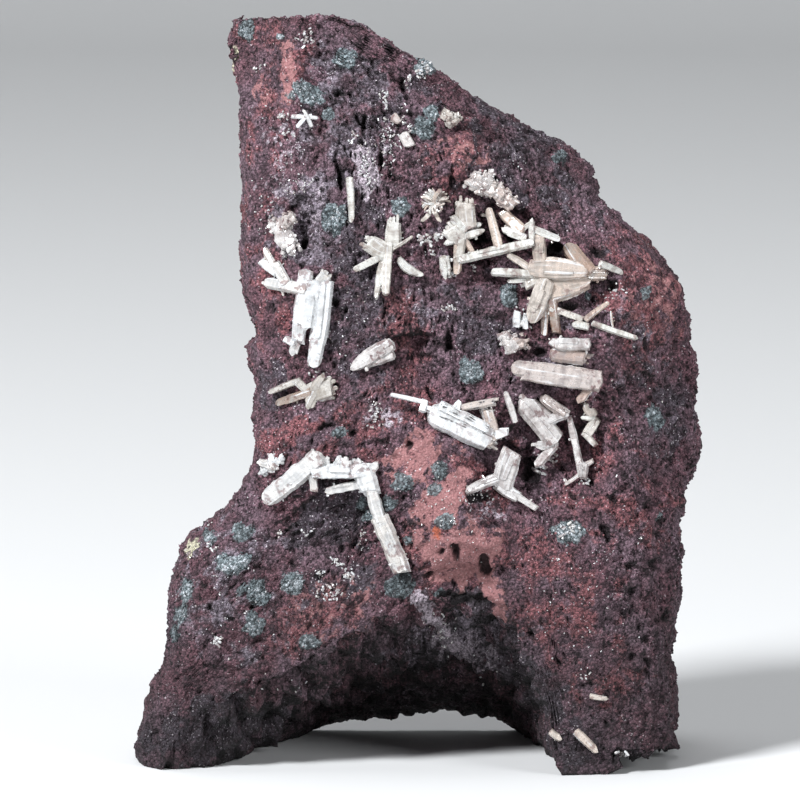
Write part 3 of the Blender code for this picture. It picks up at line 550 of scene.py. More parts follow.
# Open holes of the front face, as patches whose strength is the depth in millimetres.
HOLES = (
    (3.6, 54.3, 0.55, 1, 0, 1.6), (-1.5, 41.3, 0.5, 0.6, 0, 1), (-2.5, 54.5, 0.45, 0.45, 0, 1),
    (-8.3, 42.9, 0.5, 0.5, 0, 1), (13.9, 38.4, 1, 1.4, 20, 1.3), (7.4, 35, 1.1, 0.6, 0, 1.2),
    (4.5, 27.8, 0.45, 1.2, 20, 1.5), (8, 26.3, 0.7, 1, 15, 1.3), (2.6, 28, 0.4, 0.4, 0, 0.8),
    (23.3, 30.5, 0.5, 1.1, 25, 1.4), (29.6, 26.5, 0.6, 0.6, 0, 1.1), (1.2, 48.1, 0.22, 0.9, 25, 1),
    (-5, 77, 0.3, 1.1, 0, 1.2), (-7.1, 81.4, 0.3, 1.2, -5, 1.3), (-10, 75.1, 0.45, 1.4, 12, 1.5),
    (-2.2, 86.4, 0.35, 1.1, 5, 1.2), (-9.6, 85.3, 1.1, 0.4, 0, 1.3), (-3.9, 76, 0.4, 1.1, 0, 1.2),
    (3.9, 74.1, 0.5, 0.8, 0, 1.2), (-14.4, 67, 0.3, 0.9, -20, 1), (7.6, 67.4, 1.1, 0.9, 0, 1.8),
    (16.9, 65.9, 1, 0.8, 0, 1.8), (23.9, 61.4, 0.9, 0.7, 0, 1.4), (18.4, 58.8, 1.1, 0.7, 0, 1.4),
    (15.1, 52.9, 0.7, 0.5, 0, 1), (11.1, 67.5, 0.7, 0.6, 0, 1.4), (22.6, 65.9, 1.2, 0.5, -25, 1.1),
    (-7.3, 79, 0.25, 0.6, 0, 0.9), (-20.2, 16.9, 1, 0.3, 12, 0.8), (14, 17.6, 0.6, 0.3, -30, 0.8),
    (17, 14.5, 0.7, 0.3, -45, 0.9), (0.9, 25, 0.9, 0.4, 20, 0.9), (29.9, 30.2, 0.4, 0.7, 20, 1),
    (5.4, 22.2, 3.4, 0.8, -8, 1.6), (31, 20, 0.4, 0.8, 0, 1), (-12, 43.6, 1.2, 0.4, 20, 0.9),
    (26.4, 23, 0.4, 0.6, 15, 0.9),
)

# Blue-grey rosettes of the front face: across, height, half width, half height, and how pale they are.
ROSETTES = (
    (-21.9, 93.5, 1.1, 1.3, 0.3), (-14.1, 85.4, 1.9, 1.6, 0.5), (-9.5, 89.8, 1.4, 1.2, 0.4),
    (-11.6, 82.8, 0.9, 0.8, 0.4), (-10.6, 69.6, 1.4, 1.9, 0.5), (-2.6, 71.3, 1.2, 1.3, 0.4),
    (0.6, 88.6, 1.2, 1, 0.8), (1.5, 82.8, 1, 1.1, 0.5), (0.4, 81.1, 1.3, 1.5, 0.45),
    (11.1, 60.3, 1.1, 1.5, 0.4), (28.3, 60.6, 0.7, 1, 0.2), (21, 60.1, 0.6, 0.6, 0.3),
    (6.4, 50.9, 1.5, 1.6, 0.55), (29.4, 44.8, 1.2, 1.4, 0.35), (2.4, 38.4, 1, 1.3, 0.15),
    (-2.2, 36.8, 1.3, 1.1, 0.2), (1.8, 35.9, 0.8, 0.7, 0.1), (3.1, 32, 1.3, 1, 0.15),
    (-3.9, 34.1, 0.9, 1, 0.25), (-7.2, 34, 0.7, 0.8, 0.3), (-6.2, 32.6, 0.9, 0.9, 0.3),
    (-1.5, 29.5, 0.6, 0.6, 0.2), (-2.5, 23.9, 1.7, 1.8, 0.25), (-10.1, 43, 0.8, 0.6, 0.3),
    (-16, 23.9, 1.4, 1.6, 0.5), (-20.4, 22.9, 1.3, 1.4, 0.45), (-22.4, 23.2, 0.7, 0.6, 0.4),
    (-22.4, 30.5, 1.3, 1.1, 0.45), (-26.5, 29.8, 0.9, 0.9, 0.45), (-23.3, 26.6, 2.1, 1.3, 0.6),
    (-20.8, 18.9, 1.3, 1.5, 0.5), (-29.4, 22.8, 0.8, 1.7, 0.5), (-29.9, 20.1, 0.9, 1.2, 0.5),
    (-30.8, 17.6, 0.6, 0.9, 0.4), (-13.9, 16.8, 1.5, 0.9, 0.4), (18.5, 30.5, 1.9, 1.4, 0.65),
    (30, 32.6, 0.5, 0.5, 0.8), (2.5, 23, 0.9, 0.6, 0.3), (-17.5, 92.5, 0.5, 0.4, 0.6),
    (17.6, 77.8, 1.2, 0.9, 0.1),
)

# How far the edges of patches, rosettes and holes are frayed, in shares of their half sizes, as layers of
# noise: (height, size of a cell, seed).
PATCH_FRAY = ((0.55, 3.0, 31.0), (0.40, 1.1, 32.0))
ROSETTE_FRAY = ((0.36, 1.0, 43.0), (0.24, 0.5, 44.0))
HOLE_FRAY = ((0.45, 1.0, 51.0), (0.35, 0.5, 52.0))
# The fine relief is lower near the floor (z, share), and the pits slant more on the right (x, slant).
RELIEF_BY_HEIGHT = ((0.0, 0.25), (2.5, 1.0))
PIT_SLANT = ((-10.0, 0.0), (15.0, 0.55))


def strongest(rows: tuple[Row, ...], across: Array, height: Array, ragged: Array, full: float) -> Array:
    """The strongest of some patches at each place.

    Args:
        rows: the values of each patch.
        across: places, to the right.
        height: places, up the view.
        ragged: how far the edge is off its oval at each place, as a share of the half sizes.
        full: the share of the half sizes inside which a patch has its full strength.

    Returns:
        Strengths, which fall off smoothly to 0 at each patch's edge.
    """
    total = np.zeros(len(across))
    for row in rows:
        patch = Patch(*row)
        inside = smooth_step(PATCH_EDGE, full, patch.far(across, height) + ragged)
        total = np.maximum(total, patch.strength * inside)
    return total


@dataclass(frozen=True)
class Skin:
    """The rock's surface, for what grows on it: points, all faces, the fine square ones, normals, masks."""

    points: Array
    polygons: Faces
    quads: Array
    normals: Array
    masks: dict[str, Array]


@dataclass
class Rock:
    """The matrix: one closed skin of fine cells, as one warped cube, with its relief and colour masks."""

    block: Block
    cells_across: int = 208
    cells_high: int = 292
    cells_deep: int = 30
    coarse: int = 4
    depth_grading: float = 1.3
    knob_size: float = 2.3
    knob_rise: float = 0.60
    pebble_size: float = 0.95
    pebble_rise: float = 0.24
    grain_size: float = 0.45
    grain_rise: float = 0.16
    vault_size: float = 4.2
    vault_rise: float = 2.0
    pit_size: float = 1.5
    pit_depth: float = 0.75
    small_pit_size: float = 0.80
    small_pit_depth: float = 0.42
    pit_drift: float = 0.30
    pit_squash: float = 0.75
    lump_level: float = 0.45
    open_share: float = 0.22
    open_varies: float = 0.25
    open_size: float = 9.0
    open_where_pitted: float = 0.25
    smoothed: float = 0.68
    pits_smoothed: float = 0.8
    rosettes_smoothed: float = 0.5
    back_field_size: float = 13.0
    patch_full: float = 0.55
    hole_full: float = 0.45
    rosette_full: float = 0.9
    rosette_edge: float = 1.15
    rosette_low: float = 0.12
    rosette_lumps: float = 0.34
    rosette_lump_size: float = 0.55
    rosette_behind: float = 6.0
    hole_behind: float = 5.0

    def skin(self) -> tuple[Array, list[Array]]:
        """The cube's skin: a lattice on each side, coarser at the back.

        Returns:
            Shares of the cube for each point, and the faces, as index arrays with their corners in order
            round an outward normal.
        """
        last = (self.cells_across, self.cells_deep, self.cells_high)
        index = np.full([cells + 1 for cells in last], -1)
        on_skin = np.zeros(index.shape, dtype=bool)
        on_skin[[0, -1]] = True
        on_skin[:, 0] = True
        on_skin[:, :, [0, -1]] = True
        on_skin[::self.coarse, -1, ::self.coarse] = True
        index[on_skin] = np.arange(np.count_nonzero(on_skin))
        place = np.argwhere(on_skin) / np.array(last)
        place[:, 1] **= self.depth_grading
        faces = [
            self.quads(index[:, 0, :]),
            self.quads(index[0, :, :].T),
            self.quads(index[-1, :, :]),
            self.quads(index[:, :, 0].T),
            self.quads(index[:, :, -1]),
        ]
        return place, faces + self.back_faces(index[:, -1, :])

    @staticmethod
    def quads(grid: Array) -> Array:
        """Four-sided faces between the rows and columns of a grid of point numbers."""
        corners = (grid[:-1, :-1], grid[1:, :-1], grid[1:, 1:], grid[:-1, 1:])
        return np.stack(corners, axis=-1).reshape(-1, 4)

    def back_faces(self, grid: Array) -> list[Array]:
        """Coarse faces of the back, whose outer edges take in the fine points along the border.

        Args:
            grid: point numbers across and up, -1 where the back has none.

        Returns:
            One index array for each face.
        """
        step = self.coarse
        faces = []
        for left in range(0, self.cells_across, step):
            for low in range(0, self.cells_high, step):
                ring = np.concatenate((
                    grid[left, low:low + step],
                    grid[left:left + step, low + step],
                    grid[left + step, low + step:low:-1],
                    grid[left + step:left:-1, low],
                ))
                faces.append(ring[ring >= 0])
        return faces

    @staticmethod
    def normals(points: Array, faces: list[Array]) -> Array:
        """Outward unit normals of the points.

        Args:
            points: places, one row each.
            faces: the faces as skin gives them.

        Returns:
            The sum of the cross products of the diagonals of each point's fine faces, made 1 long, and
            straight back where there are none.
        """
        total = np.zeros_like(points)
        for quads in faces[:5]:
            across = points[quads[:, 2]] - points[quads[:, 0]]
            up = points[quads[:, 3]] - points[quads[:, 1]]
            facing = np.cross(across, up)
            for corner in range(4):
                for axis in range(3):
                    total[:, axis] += np.bincount(quads[:, corner], facing[:, axis], len(points))
        back = np.linalg.norm(total, axis=1) < 1e-9
        total[back] = (0.0, 1.0, 0.0)
        return total / np.linalg.norm(total, axis=1)[:, None]

    def covers(self, points: Array) -> dict[str, Array]:
        """How much of each kind covers each point, with ragged edges.

        Args:
            points: places in millimetres, one row each.

        Returns:
            A value from 0 to 1 for each point, by the kind's name: its patches on the front and, past their
            reach, its broad field farther back.
        """
        across, height, depth = seen(points)
        behind = depth - self.block.face_depth(across, height)
        ragged = layered_noise(points, PATCH_FRAY)
        found = {}
        for kind, rows in PATCHES.items():
            reach = REACH.get(kind, USUAL_REACH)
            near_face = smooth_step(reach, 0.5 * reach, behind)
            strength, seed = BACK_FIELDS.get(kind, (0.0, 0.0))
            field = soft_noise(points, self.back_field_size, seed) + 0.5 * ragged
            field = strength * smooth_step(0.0, 0.45, field)
            front = strongest(rows, across, height, ragged, self.patch_full)
            found[kind.value] = front * near_face + field * (1.0 - near_face)
        return found

    def rosettes(self, points: Array) -> tuple[Array, Array, Array]:
        """The rosettes' domes.

        Args:
            points: places in millimetres, one row each.

        Returns:
            How far each point stands out, as a round dome broken into lumps, how much of it is rosette, and
            how pale that rosette is.
        """
        across, height, depth = seen(points)
        near_face = depth - self.block.face_depth(across, height) < self.rosette_behind
        lumps, _ = creased_lumps(points, self.rosette_lump_size, 41.0)
        ragged = layered_noise(points, ROSETTE_FRAY)
        rise = np.zeros(len(points))
        cover = np.zeros(len(points))
        pale = np.zeros(len(points))
        for *oval, paleness in ROSETTES:
            patch = Patch(*oval)
            far = patch.far(across, height) + ragged
            dome = np.sqrt(np.clip(1.0 - far ** 2, 0.0, 1.0)) * min(patch.half_width, patch.half_height)
            rise = np.maximum(rise, dome * (self.rosette_low + self.rosette_lumps * lumps))
            inside = smooth_step(self.rosette_edge, self.rosette_full, far)
            cover = np.maximum(cover, inside)
            pale = np.where(inside > 0.0, paleness * np.clip(1.55 - 0.9 * far, 0.0, 1.6), pale)
        return rise * near_face, cover * near_face, pale * near_face

    def holes(self, points: Array) -> Array:
        """The open holes of the front face.

        Args:
            points: places in millimetres, one row each.

        Returns:
            How deep they are at each point.
        """
        across, height, depth = seen(points)
        near_face = depth - self.block.face_depth(across, height) < self.hole_behind
        ragged = layered_noise(points, HOLE_FRAY)
        return strongest(HOLES, across, height, ragged, self.hole_full) * near_face

    def pits(self, points: Array, pitted: Array) -> tuple[Array, Array]:
        """Scattered pits: cells of two sizes whose middles are sunk, more of them where the rock is open.

        Args:
            points: places in millimetres, one row each.
            pitted: how much of each place is pitted.

        Returns:
            The depth of the pits, and how dark they are inside.
        """
        drift = [soft_noise(points, 0.8, 63.0 + axis) for axis in range(3)]
        slanted = points + self.pit_drift * np.stack(drift, axis=1)
        slanted[:, 0] += points[:, 2] * track(PIT_SLANT, points[:, 0])
        slanted[:, 2] *= self.pit_squash
        open_share = self.open_share + self.open_varies * soft_noise(points, self.open_size, 61.0)
        open_share = open_share + self.open_where_pitted * pitted
        nearest, _, owner = cell_noise(slanted, self.pit_size, 62.0)
        large = smooth_step(0.42, 0.16, nearest) * (owner < open_share - 0.10)
        nearest, _, owner = cell_noise(slanted, self.small_pit_size, 67.0)
        small = smooth_step(0.45, 0.2, nearest) * (owner < open_share + 0.15)
        deep = np.maximum(self.pit_depth * large, self.small_pit_depth * small)
        return deep, np.maximum(large, 0.8 * small)

    def relief(self, points: Array, normals: Array) -> tuple[Array, dict[str, Array]]:
        """The fine relief and the masks that colour it.

        Args:
            points: the broken block's points, one row each.
            normals: their outward normals.

        Returns:
            The moved points, and masks from 0 to 1 by name.
        """
        masks = self.covers(points)
        smooth = np.maximum(masks["clay"], masks["smooth"])
        knobs, _ = creased_lumps(points, self.knob_size, 71.0)
        pebbles, owner = creased_lumps(points, self.pebble_size, 75.0)
        pebbles = pebbles - self.lump_level + 0.5 * (owner - 0.5)
        rough = self.knob_rise * (knobs - self.lump_level) + self.pebble_rise * pebbles
        rough = rough + self.grain_rise * soft_noise(points, self.grain_size, 79.0)
        vault = smooth_step(0.1, 0.6, -normals[:, 2]) * (points[:, 2] > 0.0)
        vault = vault * smooth_step(27.0, 18.0, seen(points)[2])
        crags, _ = creased_lumps(points, self.vault_size, 81.0)
        crags = crags - self.lump_level + 0.6 * soft_noise(points, 0.45 * self.vault_size, 82.0)
        rough = rough * (1.0 + 0.5 * vault) + self.vault_rise * vault * crags
        deep, pit = self.pits(points, masks["pitted"])
        holes = self.holes(points)
        rise, rosette, pale = self.rosettes(points)
        bare = (1.0 - self.pits_smoothed * smooth) * (1.0 - rosette)
        rough = rough * (1.0 - self.smoothed * smooth) * (1.0 - self.rosettes_smoothed * rosette)
        lift = rough - deep * bare + rise - holes
        lift = lift * track(RELIEF_BY_HEIGHT, points[:, 2])
        masks["rosette"] = rosette
        masks["pale"] = pale
        # The cavity mask marks pits and holes, which the material paints near black as shade.
        masks["cavity"] = np.maximum(pit * bare, np.clip(holes / 0.8, 0.0, 1.0))
        moved = points + normals * lift[:, None]
        moved[:, 2] = np.maximum(moved[:, 2], 0.0)
        return moved, masks

    def build(self) -> tuple[Object, Skin]:
        """Makes the rock's mesh.

        Returns:
            The object and its surface in millimetres.
        """
        share, faces = self.skin()
        points = self.block.places(share)
        normals = self.normals(points, faces)
        height = seen(points)[1]
        width = track(RIGHT_OUTLINE, height) - track(LEFT_OUTLINE, height)
        rough = layered_noise(points, LUMPS) * track(LUMPS_BY_HEIGHT, height) * track(LUMPS_BY_WIDTH, width)
        on_floor = points[:, 2] <= 0.0
        sideways = np.clip(share[:, 1:2] / 0.12, 0.0, 1.0)
        points = points + (normals * sideways + TOWARD_VIEWER * (1.0 - sideways)) * rough[:, None]
        points[:, 2] = np.where(on_floor, 0.0, np.maximum(points[:, 2], 0.0))
        points, masks = self.relief(points, self.normals(points, faces))
        points[on_floor, 2] = 0.0
        normals = self.normals(points, faces)
        # Painted shade: the material darkens faces that look down by this mask, less on clay and lilac crust.
        under = smooth_step(0.1, 0.9, -normals[:, 2])
        masks["under"] = under * (1.0 - masks["clay"]) * (1.0 - 0.75 * masks["lilac"])
        masks["own"] = np.full(len(points), 0.5)
        polygons = [face for side in faces[:5] for face in side.tolist()]
        polygons += [face.tolist() for face in faces[5:]]
        rock = mesh_object("rock", points, polygons)
        paint_rock(rock, masks)
        return rock, Skin(points, polygons, np.concatenate(faces[:5]), normals, masks)


def mesh_object(name: str, points: Array, faces: Faces) -> Object:
    """A smooth-shaded mesh object from points in millimetres.

    Args:
        name: the object's name.
        points: x, y and z, one row each.
        faces: the point numbers of each face.

    Returns:
        The new object, linked to the scene, at the origin.
    """
    mesh = bpy.data.meshes.new(name)
    mesh.from_pydata((points * MM).tolist(), [], faces)
    mesh.shade_smooth()
    made = bpy.data.objects.new(name, mesh)
    bpy.context.scene.collection.objects.link(made)
    return made


def paint(made: Object, name: str, *masks: Array) -> None:
    """Stores masks as one colour attribute of the points.

    Args:
        made: the object.
        name: the attribute's name.
        masks: three or four masks; where there are three, the fourth is 1 all over.
    """
    layer = made.data.attributes.new(name, "FLOAT_COLOR", "POINT")
    colours = np.ones((len(masks[0]), 4), np.float32)
    colours[:, :len(masks)] = np.stack(masks, axis=-1)
    layer.data.foreach_set("color", colours.ravel())


def paint_places(made: Object, points: Array) -> None:
    """Stores places that the crystals' pattern follows."""
    layer = made.data.attributes.new("grain", "FLOAT_VECTOR", "POINT")
    layer.data.foreach_set("vector", points.astype(np.float32).ravel())


# The colour attributes of the rock and its grains, and the masks that each one holds.
ROCK_LAYERS = {
    "zones": ("clay", "dark", "lilac"),
    "spots": ("rosette", "cavity", "rust"),
    # The mask of faces that look down carries painted shade.
    "fields": ("red", "grey", "under"),
    "tones": ("pale", "pitted", "own", "ochre"),
}


def paint_rock(made: Object, masks: dict[str, Array]) -> None:
    """Stores the masks that the rock's material reads."""
    for name, parts in ROCK_LAYERS.items():
        paint(made, name, *(masks[part] for part in parts))


def shifted(faces: Faces, first: int) -> Faces:
    """The faces with their point numbers counted from first."""
    return [[corner + first for corner in face] for face in faces]


@dataclass(frozen=True)
class Form:
    """A small closed shape that is repeated many times."""

    points: Array
    faces: tuple[tuple[int, ...], ...]

    def repeat(self, middles: Array, frames: Array) -> tuple[Array, Faces]:
        """Copies of the form.

        Args:
            middles: where each copy's origin lies.
            frames: each copy's three axes, as rows, as long as its half sizes.

        Returns:
            Points and faces of all the copies.
        """
        points = middles[:, None] + np.einsum("kj,nji->nki", self.points, frames)
        steps = len(self.points) * np.arange(len(middles))[:, None]
        faces = [corners for face in self.faces for corners in (steps + np.array(face)).tolist()]
        return points.reshape(-1, 3), faces


def prism_form(sides: int = 6, shoulder: float = 0.86) -> Form:
    """A prism one unit high on its base, whose upper part draws in to a point.

    Args:
        sides: the number of its sides.
        shoulder: the height from which it draws in.

    Returns:
        The closed form.
    """
    around = 2.0 * math.pi * np.arange(sides) / sides
    ring = np.column_stack((np.cos(around), np.sin(around), np.zeros(sides)))
    points = np.vstack((ring, ring + (0.0, 0.0, shoulder), (0.12, 0.05, 1.0)))
    following = [(side + 1) % sides for side in range(sides)]
    faces = [(side, after, after + sides, side + sides) for side, after in enumerate(following)]
    faces += [(side + sides, after + sides, 2 * sides) for side, after in enumerate(following)]
    return Form(points, (*faces, tuple(reversed(range(sides)))))


GRAIN_FORM = Form(
    np.array(((1.0, 0, 0), (-1.0, 0, 0), (0, 1.0, 0), (0, -1.0, 0), (0, 0, 1.0), (0, 0, -1.0))),
    ((0, 2, 4), (2, 1, 4), (1, 3, 4), (3, 0, 4), (2, 0, 5), (1, 2, 5), (3, 1, 5), (0, 3, 5)),
)
PRISM_FORM = prism_form()


def leaf_width(share: Array) -> Array:
    """The width of a leaf-shaped crystal at shares of its length: a sine's arch over less narrow ends."""
    return 0.40 + 0.60 * np.sin(math.pi * (0.12 + 0.82 * share)) ** 0.8


def frames_along(ways: Array, sizes: Array, random: Chance) -> Array:
    """Axes of small shapes that stand along given ways, each turned by chance about its own way.

    Args:
        ways: the direction of each one's third axis.
        sizes: lengths of the three axes, one row each.
        random: the source of chance.

    Returns:
        The axes, as rows of one square for each shape.
    """
    third = ways / np.linalg.norm(ways, axis=1)[:, None]
    first = np.cross(third, random.normal(size=third.shape))
    first /= np.linalg.norm(first, axis=1)[:, None]
    return np.stack((first, np.cross(third, first), third), axis=1) * sizes[:, :, None]


@dataclass(frozen=True)
class Grains:
    """Angular grains that stand out of the rock: squashed octahedra with their middles in its surface."""

    skin: Skin
    count: int = 24000
    least: float = 0.09
    most: float = 0.27
    rarity: float = 2.2
    tilt: float = 0.7

    def build(self) -> Object:
        """Makes the grains, which take the rock's masks from where they stand.

        Returns:
            The object.
        """
        random = np.random.default_rng(5)
        corners = self.skin.points[self.skin.quads]
        facing = np.cross(corners[:, 2] - corners[:, 0], corners[:, 3] - corners[:, 1])
        first = self.skin.quads[:, 0]
        masks = {name: mask[first] for name, mask in self.skin.masks.items()}
        weight = np.linalg.norm(facing, axis=1) * (corners[:, :, 2].min(axis=1) > FLOOR_CLEARANCE)
        weight *= (1.0 - 0.9 * masks["cavity"]) * (1.0 - 0.8 * masks["clay"]) * (1.0 + 2.0 * masks["rosette"])
        chosen = random.choice(len(first), self.count, p=weight / weight.sum())
        level, upright = random.uniform(size=(2, self.count, 1))
        low = corners[chosen, 0] * (1.0 - level) + corners[chosen, 1] * level
        high = corners[chosen, 3] * (1.0 - level) + corners[chosen, 2] * level
        middles = low * (1.0 - upright) + high * upright
        ways = self.skin.normals[first[chosen]] + self.tilt * random.normal(size=(self.count, 3))
        half = self.least + (self.most - self.least) * random.uniform(size=(self.count, 1)) ** self.rarity
        frames = frames_along(ways, half * random.uniform(0.7, 1.3, (self.count, 3)), random)
        points, faces = GRAIN_FORM.repeat(middles, frames)
        points[:, 2] = np.maximum(points[:, 2], 0.0)
        made = mesh_object("grains", points, faces)
        made.data.shade_flat()
        masks = {name: mask[chosen] for name, mask in masks.items()}
        masks["own"] = random.uniform(size=self.count)
        paint_rock(made, {name: np.repeat(mask, len(GRAIN_FORM.points)) for name, mask in masks.items()})
        return made


class Tip(Enum):
    """Forms of a crystal's far end."""

    POINT = "point"
    SLANT = "slant"
    BLUNT = "blunt"
    ROUND = "round"
    LEAF = "leaf"
    FRAYED = "frayed"


POINT, SLANT, BLUNT, ROUND, LEAF, FRAYED = Tip


class Tint(Enum):
    """Colour families of the crystals."""

    WHITE = "white"
    STREAKED = "streaked"
    CREAM = "cream"
    ROSY = "rosy"
    TAN = "tan"


class Habit(Enum):
    """Surfaces of the crystals.

    In millimetres, the depth of their grooves, cross bands and lumps, and their bow; then how many small
    crystals stand on each millimetre of their length, and the greatest length and width of these.
    """

    PLAIN = (0.032, 0.012, 0.030, 0.06, 0.7, 0.7, 0.42)
    STREAKED = (0.060, 0.008, 0.015, 0.02, 0.5, 0.5, 0.34)
    BANDED = (0.030, 0.060, 0.050, 0.05, 1.6, 0.55, 0.42)
    ROUGH = (0.030, 0.020, 0.260, 0.10, 9.0, 0.6, 0.75)
    CURVED = (0.030, 0.000, 0.030, 0.40, 0.0, 0.5, 0.20)


@dataclass(frozen=True)
class Blade:
    """One crystal: both ends of its axis, its width as seen, its thickness and how far each end stands proud.

    Its hue goes from 0, milky white, through cream to 1, clear brown; below 0 chance gives it.
    """

    start: Pair
    end: Pair
    width: float
    thick: float
    lift: Pair
    tip: Tip = POINT
    hue: float = -1.0


@dataclass(frozen=True)
class Group:
    """Crystals that grew together, as one CAD node has them, with the values of each as a row."""

    node: str
    tint: Tint
    habit: Habit
    rows: tuple[tuple, ...]

    @property
    def blades(self) -> tuple[Blade, ...]:
        """The crystals."""
        return tuple(Blade(row[:2], row[2:4], *row[4:6], row[6:8], *row[8:]) for row in self.rows)


# The rosette of needles: its middle, how far each needle starts behind it, and the needles as (angle, reach,
# lift of the end).
NEEDLES_AT = (1.8, 71.7)
NEEDLE_ROOT = 0.4
NEEDLES = tuple(
    (math.radians(angle), reach, lift)
    for angle, reach, lift in (
        (22, 1.9, 2.2), (68, 1.8, 2.4), (107, 1.9, 1.9), (152, 1.9, 2.2), (187, 1.7, 1.7),
        (237, 3.0, 2.0), (285, 2.6, 1.9),
    )
)
FINE_NEEDLES = tuple(
    (2.4 * number, 1.3 + 0.8 * ((0.618 * number) % 1.0), 1.3 + 1.6 * ((0.381 * number) % 1.0))
    for number in range(26)
)

